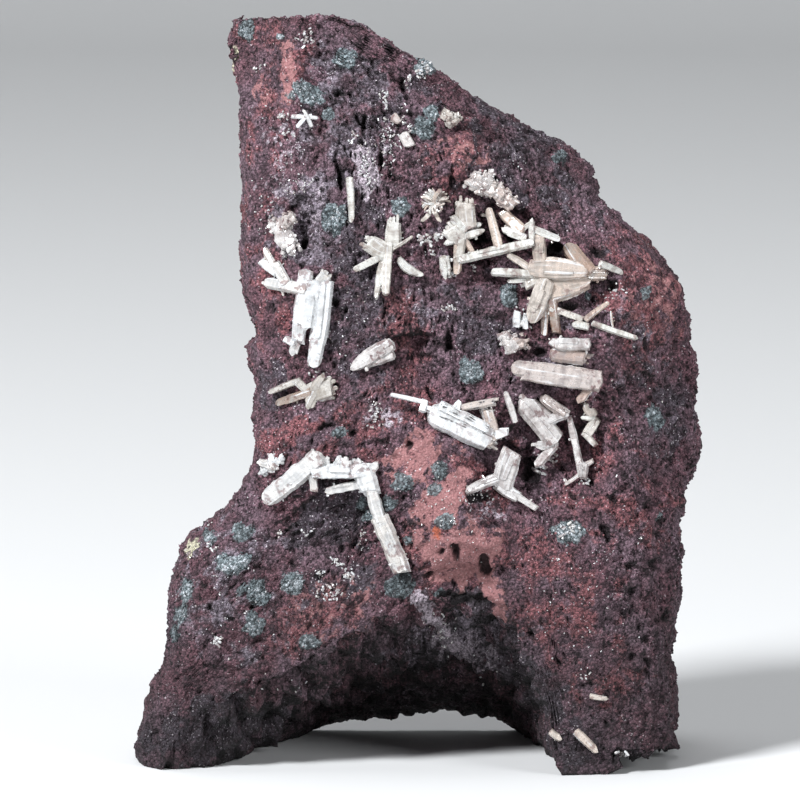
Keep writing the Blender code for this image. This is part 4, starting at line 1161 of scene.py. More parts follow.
# Crystals: across and height of the axis's near end and of its far end, width as seen, thickness, how far the
# near and the far end stand in front of the face, the form of the far end, and the hue.
GROUPS = (
    Group("upper_blade", Tint.CREAM, Habit.PLAIN, ((-8.8, 75, -8.5, 68.9, 0.95, 0.7, 1.5, 0.9, SLANT),)),
    Group("star_spray", Tint.CREAM, Habit.PLAIN, (
        (-3.4, 66, -3.2, 70.2, 2, 0.9, 1.2, 1.7, FRAYED, 0.2),
        (-3.8, 65.2, -7.1, 67.2, 2.3, 0.9, 1.2, 1.5, FRAYED, 0.2),
        (-4.2, 65.4, -8.3, 63.3, 0.95, 0.8, 1.3, 1.5, ROUND, 0),
        (-4.5, 65.2, -5.5, 59.7, 1.1, 0.9, 1.2, 2.2, LEAF),
        (-3.9, 66.8, -4.3, 60.2, 1.15, 0.9, 1.4, 2.6, ROUND, 0.25),
        (-4, 65.6, -0.8, 67.6, 0.5, 0.5, 1.6, 2.2),
    )),
    Group("curved_blade", Tint.CREAM, Habit.CURVED, (
        (-2.9, 64.7, 0.3, 62.5, 1.25, 0.8, 1.1, 1.4, LEAF, 0.1),
    )),
    Group("twin_group", Tint.WHITE, Habit.PLAIN, (
        (-11.7, 62.3, -13.3, 51.1, 2.1, 1.4, 1.2, 1.9, ROUND, 0),
        (-14.2, 63.5, -15.3, 54.1, 1.9, 1.3, 1.3, 1.5, BLUNT, 0),
        (-12.8, 62.2, -13.7, 55.6, 4.2, 1.1, 1.5, 1.8, BLUNT, 0),
        (-12.6, 61.6, -11.4, 63.2, 1.6, 0.9, 1.5, 1.4, FRAYED, 0.6),
        (-15.2, 55, -16.1, 52.2, 1.3, 0.9, 1.3, 1.2, SLANT),
        (-15.5, 54, -17, 54.8, 0.9, 0.7, 1.2, 1.1, BLUNT),
        (-13.9, 60.8, -19.7, 61.9, 1.7, 1.1, 2.2, 2.2, POINT, 0.55),
        (-16.6, 61.4, -18.3, 64.4, 1.5, 0.9, 1.6, 1.8, BLUNT, 0.65),
        (-17.6, 62.9, -19.9, 64.7, 1.4, 0.9, 1.7, 1.8, BLUNT, 0.1),
        (-18.3, 64, -19.7, 66.3, 1.1, 0.8, 1.7, 1.5, SLANT, 0.85),
    )),
    Group("crust_left", Tint.ROSY, Habit.ROUGH, (
        (-16.2, 66.1, -18.3, 70, 2.3, 0.9, 0.9, 1.2, BLUNT, 0.15),
        (-17.6, 68.7, -15.6, 70.3, 1.6, 0.8, 1.1, 1.2, BLUNT, 0.4),
        (-17, 67.2, -15.2, 65.5, 1.5, 0.8, 1, 1, SLANT, 0.1),
    )),
    Group("spray_left", Tint.TAN, Habit.PLAIN, (
        (-15, 49.6, -19.1, 47.9, 0.8, 0.8, 1.3, 1.6, SLANT, 0.2),
        (-13.8, 47.9, -15.7, 49.7, 1, 0.8, 1.3, 1.5, BLUNT, 0.1),
        (-13.4, 48.2, -17.9, 46.7, 1.2, 1, 1.5, 1.7, ROUND, 0.85),
        (-13.7, 47.9, -12, 50.3, 1.1, 0.7, 1.1, 1.6, LEAF, 0.3),
        (-14.4, 47.6, -10.2, 48.9, 2.5, 0.8, 1.1, 1.6, FRAYED, 0.2),
        (-12.9, 48.4, -14.1, 45.8, 1.5, 0.7, 1.1, 1.2, POINT, 0.3),
    )),
    Group("blade_middle", Tint.ROSY, Habit.BANDED, (
        (-3.2, 54.3, -8.6, 51, 2.3, 1.1, 1.2, 1.3, LEAF, 0.1),
        (-3.2, 52.9, -6.8, 51.4, 1.3, 0.9, 1.1, 1.2, FRAYED, 0.2),
    )),
    Group("elbow_group", Tint.WHITE, Habit.BANDED, (
        (-12.2, 40.4, -19.4, 34.4, 2.6, 1.6, 1.5, 1.6, ROUND, 0.4),
        (-13.8, 38.2, -6, 38.3, 1.9, 1.4, 1.3, 1.3, BLUNT, 0),
        (-7.3, 36.6, -12.3, 35.5, 1.1, 0.9, 1.2, 1.2, SLANT),
        (-7.4, 38.9, -5.8, 34.8, 2.7, 1.4, 1.3, 1.5, FRAYED, 0.2),
        (-6.6, 37.4, -5.2, 39.5, 1, 0.8, 1.3, 1.4),
        (-6.3, 36.6, -4.8, 31.4, 1.6, 1.2, 1.4, 1.6, BLUNT, 0.45),
        (-5.2, 32.8, -2.1, 25.3, 2.4, 1.4, 1.5, 1.3, BLUNT, 0.6),
        (-13.5, 38, -13.2, 35.5, 1.1, 0.8, 1.2, 1.3, BLUNT), (-10.9, 38.4, -9.8, 40.2, 0.9, 0.7, 1.2, 1.2),
        (-12, 38.3, -11.8, 40.3, 1.3, 0.7, 1.1, 1.1, FRAYED, 0.4),
        (-9.4, 38.6, -9.2, 40, 1.5, 0.7, 1.1, 1, FRAYED, 0.4),
        (-7.8, 38.6, -7.9, 39.9, 1.2, 0.7, 1.1, 1, FRAYED, 0.3),
    )),
    Group("pale_cluster_left", Tint.WHITE, Habit.ROUGH, (
        (-18.1, 38.6, -20.3, 39.4, 1, 0.8, 1.1, 1.2, BLUNT),
        (-18.2, 39.1, -20.2, 37.8, 0.9, 0.8, 1.2, 1.1, SLANT),
        (-18.3, 38.9, -18.7, 40.5, 0.9, 0.8, 1.1, 1.3, BLUNT),
        (-18.4, 38.9, -17.1, 40.1, 0.8, 0.7, 1.1, 1.3),
    )),
    Group("striated_group", Tint.STREAKED, Habit.STREAKED, (
        (9, 42.1, 1.2, 45.6, 3.3, 1.7, 1.2, 1.7, ROUND, 0),
        (2.4, 45.5, 0.3, 46.2, 0.9, 0.8, 1.5, 1.6, BLUNT),
        (0.2, 45.5, 0.7, 47.2, 0.95, 0.8, 1.6, 1.7, BLUNT),
        (0.9, 46.7, -3.7, 47.8, 0.7, 0.65, 1.7, 2.2, ROUND, 0.2),
        (4.4, 45.2, 4.9, 47.5, 1.1, 0.8, 1.3, 1.3, SLANT),
        (5, 46.1, 10.1, 47.1, 0.9, 0.8, 1.2, 1.4, FRAYED, 0.5),
        (9.3, 42.8, 8.1, 46.6, 1.6, 1, 1.2, 1.4, FRAYED, 0.6),
        (7.2, 43.3, 10, 41.5, 2.6, 1.2, 1.2, 1.3, FRAYED, 0.6),
        (9, 42.6, 11.2, 43.2, 1.2, 0.9, 1.3, 1.5, BLUNT, 0),
    )),
    Group("front_group", Tint.ROSY, Habit.PLAIN, (
        (12, 44.2, 10.7, 48.1, 0.85, 0.8, 1.9, 2.4, ROUND, 0.1),
        (17.2, 41.7, 12.4, 47.6, 2.7, 1.4, 1.2, 2.2, POINT, 0.25),
        (16.9, 44.6, 13.9, 47, 0.95, 0.8, 1.2, 2.2, ROUND, 0.3),
        (18.6, 45.1, 15.2, 47.5, 1.5, 0.9, 1, 2, ROUND, 0.6),
        (15, 44, 18.5, 45.6, 1.4, 0.9, 1.3, 1.2, BLUNT), (17.4, 41.6, 13.9, 41.2, 1.3, 0.9, 1.2, 1.6, SLANT),
        (17, 41.6, 14.2, 38.3, 1.2, 1, 1.2, 1.7, SLANT),
        (20.3, 37.7, 18.6, 45.4, 1, 0.9, 1.7, 1.1, POINT, 0),
        (20.5, 39.4, 20.3, 37.1, 1.3, 1.1, 1.7, 1.6, BLUNT, 0),
        (20.3, 38.7, 21.8, 39.6, 0.7, 0.6, 1.6, 1.9, BLUNT), (20.1, 37.8, 18, 36.4, 0.5, 0.5, 1.5, 1.3),
    )),
    Group("right_cluster", Tint.CREAM, Habit.PLAIN, (
        (21.9, 44.9, 20.5, 46.9, 1.3, 0.8, 1.2, 1.7), (22, 44.8, 20, 44.9, 0.65, 0.6, 1.3, 1.5),
        (22.2, 45, 20.8, 42.6, 1.4, 0.9, 1.2, 1.5, BLUNT),
        (20.4, 43.1, 22.1, 41.3, 0.85, 0.7, 1.4, 1.6, BLUNT),
    )),
    Group("tablet_group", Tint.ROSY, Habit.BANDED, (
        (22.9, 49.3, 11.4, 51.2, 2.6, 1.5, 1.6, 2.2, ROUND, 0.45),
        (21.4, 54, 15.5, 54.1, 1.5, 1.2, 1.8, 1.9, SLANT, 0),
        (16.2, 52.9, 21.6, 52.2, 2, 1.1, 1.3, 1.3, FRAYED, 0.8),
        (22.1, 49.8, 19.5, 46.3, 1.15, 0.8, 1.4, 2.2, SLANT, 0.85),
    )),
    Group("small_tablets", Tint.WHITE, Habit.PLAIN, (
        (12.1, 56.1, 12.2, 58.3, 0.95, 0.7, 1.2, 1.5, BLUNT, 0),
        (13.2, 55.9, 13.2, 58, 0.7, 0.7, 1.3, 1.6, BLUNT, 0),
        (11.6, 56.9, 13.3, 56.6, 0.9, 0.7, 1.1, 1.2, BLUNT),
    )),
    Group("lumpy_crust", Tint.ROSY, Habit.ROUGH, (
        (12, 53, 10.3, 55.7, 2, 1.1, 1.1, 1.4, BLUNT, 0.3),
        (11.4, 54, 13.7, 54.7, 1.8, 1, 1.1, 1.4, SLANT, 0.7),
    )),
    Group("granular_crust", Tint.ROSY, Habit.ROUGH, (
        (8.6, 73.4, 6, 75, 2.4, 1.3, 1.1, 1.4, BLUNT, 0.4),
        (8.4, 73.2, 8.3, 76, 1.7, 1.1, 1.2, 1.8, SLANT, 0.3),
        (7.8, 73.8, 10.1, 73.2, 2.2, 1.2, 1.2, 1.4, BLUNT, 0.45),
        (9.2, 73.4, 11.9, 71.1, 2, 1.1, 1.2, 1.6, BLUNT, 0.6),
    )),
    Group("needle_rosette", Tint.CREAM, Habit.CURVED, tuple(
        (
            NEEDLES_AT[0] - NEEDLE_ROOT * math.cos(angle), NEEDLES_AT[1] - NEEDLE_ROOT * math.sin(angle),
            NEEDLES_AT[0] + reach * math.cos(angle), NEEDLES_AT[1] + reach * math.sin(angle),
            width, 0.8 * width, 1.2, lift,
        )
        for width, needles in ((0.6, NEEDLES), (0.32, FINE_NEEDLES))
        for angle, reach, lift in needles
    )),
    Group("jackstraw", Tint.CREAM, Habit.PLAIN, (
        (5.9, 68.3, 5.5, 72.6, 2.5, 0.9, 1.6, 2, FRAYED, 0.35),
        (5.8, 68.1, 3.9, 70.2, 0.95, 0.8, 1.7, 1.8, BLUNT, 0),
        (5.5, 66.8, 3.2, 69, 2.2, 0.9, 1.5, 1.9, FRAYED, 0.25),
        (5.7, 67.4, 2.9, 66.6, 0.75, 0.7, 1.5, 1.6, POINT, 0),
        (5.2, 67.5, 8.1, 68.3, 1.15, 0.8, 1.6, 1.8, LEAF, 0.1),
        (5.2, 68.9, 7.6, 69, 0.8, 0.7, 1.6, 1.5, ROUND),
        (5.4, 68.9, 4.9, 64.3, 1.1, 0.9, 1.6, 1.9, ROUND, 0.2),
        (5.4, 67.4, 6.7, 65.3, 0.8, 0.7, 1.5, 1.4, ROUND, 0.6),
        (4.8, 67, 4.6, 62.8, 1.2, 0.8, 1.4, 1.4, ROUND, 0.6),
        (3, 65.2, 3.3, 61.9, 1.3, 0.8, 1.6, 1.5, SLANT, 0.15),
        (4.8, 64.6, 14.2, 66.8, 1.2, 1.1, 2, 2.5, ROUND, 0.05),
        (10, 65.6, 8.6, 71, 1.15, 1, 2.3, 0.8, ROUND, 0.5),
        (13, 67.9, 10.1, 70.8, 1.6, 0.9, 2.2, 0.9, BLUNT, 0.6),
        (13.4, 67.2, 10.1, 68.6, 1.05, 0.8, 2.3, 2, POINT, 0.1),
        (12.8, 68.4, 14.2, 69.4, 0.6, 0.6, 2.2, 2.4, POINT, 0),
        (14, 66.2, 14, 69.9, 0.8, 0.8, 2.4, 2.4, POINT, 0.1),
        (13.8, 68.6, 17.5, 67.1, 1, 0.8, 2.3, 2.2, ROUND, 0.1),
        (15, 64, 14.9, 67.9, 1.7, 1.1, 2.2, 2.2, BLUNT, 0.5),
        (13.9, 63.4, 10.9, 65.3, 1, 0.9, 2, 2.3, ROUND, 0.45),
        (14.3, 62.8, 8.9, 63.1, 1.1, 0.9, 2, 2.6, ROUND, 0),
        (13.6, 62.2, 10.9, 61.9, 0.7, 0.7, 1.6, 2, ROUND, 0.1),
        (15, 62.6, 12.6, 61.3, 1.7, 0.9, 1.8, 1.6, FRAYED, 0.3),
        (13.3, 63.6, 20.9, 63.2, 2.9, 1.2, 2.2, 1.8, LEAF, 0.5),
        (15.4, 60.6, 21.3, 61.9, 3.4, 1.3, 1.6, 1.2, LEAF, 0.55),
        (21.2, 61.9, 16, 59.6, 1.9, 1.1, 1.1, 1.9, ROUND, 0.6),
        (15.9, 62.4, 13.9, 56.7, 2.5, 1.2, 2.2, 2.4, LEAF, 0.4),
        (15.8, 59.4, 15.5, 55.2, 1, 0.8, 1.6, 1.2, ROUND, 0.95),
        (16.5, 59.8, 17.1, 55.3, 1.2, 0.8, 1, 0.8, BLUNT, 1),
        (21.4, 62.6, 18.3, 66.6, 2.2, 1.3, 1.4, 0.8, ROUND, 0.85),
        (22.4, 64.2, 25.5, 62.9, 0.9, 0.7, 1.6, 1.3, POINT, 0.05),
        (20.6, 62.9, 23.9, 62.9, 1.8, 1, 1.4, 1, FRAYED, 0.6),
        (17.6, 57.8, 15.9, 58.5, 1.5, 1, 1.7, 2, BLUNT, 0.1),
        (17, 58.4, 20.5, 57.1, 0.8, 0.7, 1.7, 1.6, BLUNT, 0.3),
        (20.5, 57, 23.6, 59.3, 0.75, 0.7, 1.5, 1.6, ROUND, 0.6),
        (21.2, 56.2, 19, 56.6, 1, 0.8, 1.3, 1.5, ROUND, 0.1),
        (24.1, 56.1, 23.8, 58.3, 0.3, 0.3, 1.6, 2, POINT, 0.8),
        (21.4, 56.7, 27.3, 54.7, 0.8, 0.75, 1.9, 4.6, POINT, 0.1),
    )),
    Group("star_top", Tint.WHITE, Habit.PLAIN, (
        (-16.1, 82.5, -12.6, 82.3, 0.55, 0.6, 1.6, 1.6), (-13.5, 81.2, -14.6, 83.4, 0.5, 0.45, 1.2, 1.4),
        (-14.2, 82.6, -15.5, 81, 0.5, 0.45, 1.2, 1.2),
    )),
    Group("pearly_blade_upper", Tint.ROSY, Habit.PLAIN, (
        (-3.6, 82.5, -1.9, 81.7, 1.2, 0.7, 1, 1.1, SLANT),
    )),
    Group("pearly_blade_lower", Tint.ROSY, Habit.PLAIN, (
        (-2.2, 80.5, -0.9, 78.3, 1.3, 0.7, 1, 1.1, SLANT),
    )),
    Group("cream_lump", Tint.TAN, Habit.ROUGH, (
        (2.6, 83, 5, 81.6, 1.5, 1.1, 1, 1.3, BLUNT), (3.2, 81.3, 4.9, 83, 1.4, 1, 1, 1.2, SLANT),
    )),
    Group("tablet_lower", Tint.ROSY, Habit.PLAIN, (
        (10.1, 35.8, 11.6, 41, 2.8, 1.2, 1.2, 2.2, BLUNT, 0.15),
        (9.8, 37.4, 5.8, 35.7, 1.3, 1, 1.2, 1.5, ROUND, 0.2),
        (9.3, 36.9, 12.4, 34.8, 1.7, 1, 1.2, 1.4, BLUNT),
        (11.2, 35.7, 14.7, 33.4, 0.85, 0.7, 1.3, 1.6, BLUNT),
    )),
    Group("blade_foot", Tint.CREAM, Habit.PLAIN, ((19.4, 5.7, 22.6, 2.7, 1.1, 0.8, 1.1, 1.2, SLANT),)),
    Group("chip_foot_left", Tint.CREAM, Habit.PLAIN, ((16.2, 5.6, 18.1, 4.4, 0.9, 0.7, 1, 1.2, SLANT),)),
    Group("chip_right_leg", Tint.CREAM, Habit.PLAIN, ((21.2, 10, 23.7, 9.6, 0.7, 0.6, 1, 1.1),)),
)

# Far ends of the crystals, as planes: the lean of the plane's normal to the side and out of the flat face, in
# degrees, and how far the plane stands back from the end at the axis, as a share of the width.
TIP_PLANES = {
    POINT: ((52.0, 0.0, 0.05), (-44.0, 0.0, 0.05), (8.0, 38.0, 0.05), (-6.0, -42.0, 0.05)),
    SLANT: ((34.0, 0.0, 0.35), (-58.0, 0.0, 0.35), (10.0, 34.0, 0.18), (10.0, -30.0, 0.18)),
    BLUNT: ((14.0, 0.0, 0.10), (10.0, 40.0, 0.02), (10.0, -36.0, 0.02)),
    ROUND: tuple(
        (lean, 0.0, 0.5 - 0.5 / math.cos(math.radians(lean))) for lean in (-65, -40, -15, 15, 40, 65)
    ),
}
TIP_PLANES[LEAF] = TIP_PLANES[ROUND]
TIP_PLANES[FRAYED] = TIP_PLANES[BLUNT]
# Edges between faces that lean apart by more than this show as sharp.
SHARP_FROM = math.radians(28.0)
# Tips of the thin crystals grown along a larger one.
LAMELLA_TIPS = (POINT, SLANT, BLUNT, ROUND)


@dataclass
class Crystal:
    """One crystal on the rock: a flattened six-sided prism with a cut tip, grooved along its length."""

    block: Block
    blade: Blade
    habit: Habit
    number: int
    back: float
    flat_share: float = 0.68
    step_around: float = 0.13
    step_along: float = 0.22
    cap_rings: int = 7
    foot_slope: float = 0.3
    step_share: float = 0.05
    sprout_aside: float = 0.46
    sprout_out: float = 0.42
    turn_spread: float = math.radians(13.0)
    turn_step: float = 2.4

    def __post_init__(self) -> None:
        """Lays the axis over the rock, moved back along the line of sight, and starts the chance."""
        blade = self.blade
        self.start = self.block.face_point(blade.start, blade.lift[0] - self.back)
        end = self.block.face_point(blade.end, blade.lift[1] - self.back)
        self.length = float(np.linalg.norm(end - self.start))
        along = (end - self.start) / self.length
        aside = np.cross(along, TOWARD_VIEWER)
        aside /= np.linalg.norm(aside)
        self.axes = np.stack((aside, np.cross(along, aside), along))
        across, height = blade.start
        self.random = np.random.default_rng([self.number, round(1000 + 10 * across), round(10 * height)])

    def section(self, blade: Blade) -> Array:
        """The six-sided section, whose two flat sides are flat_share of its width.

        Args:
            blade: the crystal.

        Returns:
            Points round it, in order, evenly spread along each side.
        """
        half, flat, thick = blade.width / 2.0, self.flat_share * blade.width / 2.0, blade.thick / 2.0
        corners = np.array((
            (half, 0.0), (flat, thick), (-flat, thick), (-half, 0.0), (-flat, -thick), (flat, -thick),
        ))
        ring = []
        for corner, following in zip(corners, np.roll(corners, -1, axis=0)):
            side = following - corner
            count = max(3, round(float(np.hypot(*side)) / self.step_around))
            ring += [corner + side * (number / count) for number in range(count)]
        return np.array(ring)

    @staticmethod
    def top(blade: Blade, length: float, across: Array, out: Array) -> Array:
        """The height along the axis at which the tip's planes end the crystal.

        Args:
            blade: the crystal.
            length: its length in millimetres.
            across: places aside of the axis.
            out: places out of the flat face.

        Returns:
            The lowest of the planes at each place.
        """
        heights = []
        for lean, pitch, back in TIP_PLANES[blade.tip]:
            side = math.tan(math.radians(lean)) * across
            front = math.tan(math.radians(pitch)) * out
            heights.append(length - back * blade.width - side - front)
        return np.minimum.reduce(heights)

    def local(self, blade: Blade, length: float) -> tuple[Array, Faces]:
        """The bare prism in its own frame: rows of the section up to the tip's planes, and a cap of rings.

        Args:
            blade: the crystal.
            length: its length in millimetres.

        Returns:
            x (aside), y (out of the flat face) and z (along the axis) of each point, and the faces.
        """
        ring = self.section(blade)
        count = len(ring)
        rows = max(4, round(length / self.step_along))
        end = self.top(blade, length, ring[:, 0], ring[:, 1])
        foot = self.foot_slope * np.abs(ring).sum(axis=1)
        points = []
        for row in range(rows + 1):
            points.append(np.column_stack((ring, foot + (end - foot) * row / rows)))
        for inner in range(1, self.cap_rings + 1):
            share = 1.0 - inner / (self.cap_rings + 1.0)
            points.append(np.column_stack((ring * share, self.top(blade, length, *(ring * share).T))))
        grid = np.arange((rows + 1 + self.cap_rings) * count).reshape(-1, count)
        following = np.roll(grid, -1, axis=1)
        walls = np.stack((grid[:-1], following[:-1], following[1:], grid[1:]), axis=-1)
        middle = np.zeros(1)
        ends = np.array([[0.0, 0.0, self.top(blade, length, middle, middle)[0]], [0.0, 0.0, 0.0]])
        last = len(grid) * count
        cap = [[int(a), int(b), last] for a, b in zip(grid[-1], following[-1])]
        base = [[int(b), int(a), last + 1] for a, b in zip(grid[0], following[0])]
        return np.concatenate((*points, ends)), walls.reshape(-1, 4).tolist() + cap + base

    def lamellae(self) -> tuple[Array, Faces]:
        """The prism with thinner ones grown along it, a little out of line, so that it ends in steps.

        Returns:
            Points and faces, as local gives them.
        """
        blade, length, random = self.blade, self.length, self.random
        frayed = blade.tip is FRAYED
        points, faces = self.local(blade, length * (0.86 if frayed else 1.0))
        count = int(random.integers(2, 5)) if blade.width > 1.2 else int(random.integers(0, 2))
        count = round(blade.width / 0.28) if frayed else count
        for number in range(count):
            width = random.uniform(0.4, 0.6) if frayed else blade.width * random.uniform(0.22, 0.5)
            thick = blade.thick * random.uniform(0.5, 0.9)
            first = 0.0 if frayed else length * random.uniform(0.0, 0.35)
            last = length * (random.uniform(0.82, 1.02) if frayed else random.uniform(0.55, 1.02))
            share = (number + 0.5) / count - 0.5 if frayed else random.uniform(-0.5, 0.5)
            aside = share * (blade.width - width) * (0.6 if frayed else 1.0)
            face = 1.0 if frayed else random.choice((1.0, 1.0, -1.0))
            out = face * (blade.thick * 0.5 - thick * random.uniform(0.25, 0.4))
            fan = 0.5 * share * blade.width / length if frayed else 0.0
            lean = math.atan(fan) + math.radians(random.normal(0.0, 2.0))
            tip = LAMELLA_TIPS[int(random.integers(len(LAMELLA_TIPS)))]
            thin = Blade(blade.start, blade.end, width, thick, blade.lift, tip)
            grown, its_faces = self.local(thin, last - first)
            grown[:, 0] += aside + grown[:, 2] * math.tan(lean)
            grown += (0.0, out, first)
            faces += shifted(its_faces, len(points))
            points = np.concatenate((points, grown))
        return points, faces

    def grooved(self, points: Array) -> Array:
        """The points with the crystal's imperfections.

        Args:
            points: places in the crystal's own frame.

        Returns:
            The points, drawn in along fine grooves and cross bands, lumpy where rough, and bowed a little.
        """
        blade, random = self.blade, self.random
        groove, band, lump, bow = self.habit.value[:4]
        seed = random.uniform(0.0, 50.0)
        place = points + random.uniform(0.0, 40.0, 3)
        streaks = soft_noise(place * (1.0, 1.0, 0.05), 0.16, seed)
        streaks += 0.6 * soft_noise(place * (1.0, 1.0, 0.12), 0.36, seed + 1.0)
        bands = soft_noise(place * (0.12, 0.12, 1.0), 0.34, seed + 2.0)
        rough = soft_noise(place, 0.55, seed + 3.0) + 0.5 * soft_noise(place, 0.26, seed + 4.0)
        outward = points * (1.0, 1.0, 0.0)
        outward /= np.maximum(np.linalg.norm(outward, axis=1), 0.05)[:, None]
        drawn = groove * streaks + band * bands + lump * rough
        moved = points + outward * np.minimum(drawn, 0.5 * groove + lump)[:, None]
        steps = np.floor(3.0 * soft_noise(place * (0.0, 0.0, 1.0), 1.1, seed + 5.0)) / 3.0
        share = np.clip(points[:, 2] / self.length, 0.0, 1.0)
        taper = random.uniform(0.0, 0.30)
        belly = random.uniform(0.0, 0.12)
        moved[:, 0] *= 1.0 + self.step_share * steps - taper * share ** 2 + belly * np.sin(math.pi * share)
        if blade.tip is LEAF:
            moved[:, 0] *= leaf_width(share)
        moved[:, 1] *= 1.0 + self.step_share * steps - 0.5 * taper * share ** 2
        moved[:, 0] += bow * (4.0 * share * (1.0 - share) - 0.5) * random.choice((-1.0, 1.0))
        moved[:, 2] += 0.6 * lump * rough * smooth_step(0.0, 0.5, points[:, 2])
        return moved

    def place(self) -> tuple[Array, Array, Array, Faces]:
        """The crystal where it stands on the rock, with the small ones on it.

        Returns:
            Its points, the same points in its own frame, its tones (its hue, the share of its length and how
            near its edge each point is), and its faces.
        """
        blade, random = self.blade, self.random
        aside, outward, along = self.axes
        bare, faces = self.lamellae()
        shaped = self.grooved(bare)
        turn = self.turn_spread * math.sin(self.turn_step * self.number)
        level = shaped[:, 0] * math.cos(turn) - shaped[:, 1] * math.sin(turn)
        front = shaped[:, 0] * math.sin(turn) + shaped[:, 1] * math.cos(turn)
        points = self.start + level[:, None] * aside + front[:, None] * outward + shaped[:, 2:] * along
        tone = np.column_stack((
            np.full(len(bare), blade.hue if blade.hue >= 0.0 else random.uniform(0.0, 0.6)),
            np.clip(bare[:, 2] / self.length, 0.0, 1.0),
            np.clip(np.abs(bare[:, 0]) / (blade.width / 2.0), 0.0, 1.0),
        ))
        small = self.sprouts()
        faces += shifted(small[3], len(points))
        local = np.vstack((bare, small[1])) + (random.uniform(0.0, 80.0), 0.0, 0.0)
        return np.vstack((points, small[0])), local, np.vstack((tone, small[2])), faces

    def sprouts(self) -> tuple[Array, Array, Array, Faces]:
        """Small crystals that stand on this one, mostly along its edges.

        Returns:
            As place gives them.
        """
        blade, length, random, axes = self.blade, self.length, self.random, self.axes
        per_length, longest, widest = self.habit.value[4:]
        count = round(per_length * length * max(1.0, blade.width) / 1.5)
        side = random.choice((-1.0, 1.0), count) * random.uniform(0.0, 1.0, count) ** 0.6
        share = random.uniform(0.02, 0.90, count)
        narrow = leaf_width(share) if blade.tip is LEAF else 1.0
        face = np.where(random.uniform(size=count) < 0.85, 1.0, -1.0)
        out = self.sprout_out * blade.thick * (1.0 - 0.6 * np.abs(side)) * face
        bare = np.column_stack((self.sprout_aside * blade.width * side * narrow, out, length * share))
        lean = np.column_stack((1.1 * side, np.sign(bare[:, 1]) * (1.15 - np.abs(side)), np.zeros(count)))
        ways = (lean + random.normal(0.0, 0.5, (count, 3))) @ axes
        size = random.uniform(0.25, 1.0, count) ** 1.5
        sizes = np.column_stack((widest / 2.0 * size, widest / 3.0 * size, longest * size))
        sizes *= random.uniform(0.7, 1.2, (count, 3))
        middles = self.start + bare @ axes
        points, faces = PRISM_FORM.repeat(middles, frames_along(ways, sizes, random))
        per_form = len(PRISM_FORM.points)
        hue = np.clip(max(blade.hue, 0.2) + random.uniform(-0.2, 0.2, count), 0.0, 1.0)
        tone = np.column_stack((hue, bare[:, 2] / length, random.uniform(size=count)))
        local = np.repeat(bare, per_form, axis=0) + (points - np.repeat(middles, per_form, axis=0))
        return points, local, np.repeat(tone, per_form, axis=0), faces


@dataclass
class CrystalGarden:
    """Sets the groups of crystals on the rock as the model has them: each rests on what is behind it."""

    block: Block
    surface: BVHTree
    resting_shares: tuple[float, ...] = (0.1, 0.3, 0.5, 0.7, 0.9)
    resting_part: float = 0.15
    set_in: float = 0.1
    least_shown: float = 0.65
    ray_start: float = 30.0

    def gaps(self, blade: Blade) -> list[float]:
        """How far a crystal stands off the rock.

        Args:
            blade: the crystal.

        Returns:
            Distances along the line of sight from points on its back to the rock behind them.
        """
        found = []
        for share in self.resting_shares:
            place = np.array(blade.start) * (1.0 - share) + np.array(blade.end) * share
            lift = blade.lift[0] * (1.0 - share) + blade.lift[1] * share
            point = self.block.face_point(place, lift)
            above = Vector(point + TOWARD_VIEWER * self.ray_start)
            hit = self.surface.ray_cast(above, Vector(-TOWARD_VIEWER))[0]
            if hit is not None:
                found.append(float(np.dot(point - np.array(hit), TOWARD_VIEWER)) - blade.thick / 2.0)
        return found

    def backs(self, blades: tuple[Blade, ...]) -> list[float]:
        """How far the crystals of a group move back so that its nearest points are set in the rock.

        Args:
            blades: the crystals.

        Returns:
            One distance for each: the group's own, or less where the crystal would sink too far.
        """
        found = [self.gaps(blade) for blade in blades]
        together = float(np.quantile(sum(found, []), self.resting_part)) + self.set_in
        return [
            min([together] + [gap + blade.thick - self.least_shown for gap in near])
            for blade, near in zip(blades, found)
        ]

    def plant(self, group: Group) -> Object:
        """Makes one group's mesh, with its points' places along their own crystals as an attribute.

        Args:
            group: the crystals.

        Returns:
            The object.
        """
        blades = group.blades
        grown = [
            Crystal(self.block, blade, group.habit, number, back).place()
            for number, (blade, back) in enumerate(zip(blades, self.backs(blades)))
        ]
        points, local, tones, faces = zip(*grown)
        firsts = np.cumsum([0, *map(len, points)]).tolist()
        polygons = [face for part, first in zip(faces, firsts) for face in shifted(part, first)]
        made = mesh_object(f"{group.node}_crystals", np.concatenate(points), polygons)
        made.data.set_sharp_from_angle(angle=SHARP_FROM)
        paint_places(made, np.concatenate(local))
        paint(made, "tone", *np.concatenate(tones).T)
        return made


@dataclass(frozen=True)
class Cluster:
    """Tiny crystals scattered round one place on the front."""

    across: float
    height: float
    half_width: float
    half_height: float
    count: int
    longest: float = 0.7


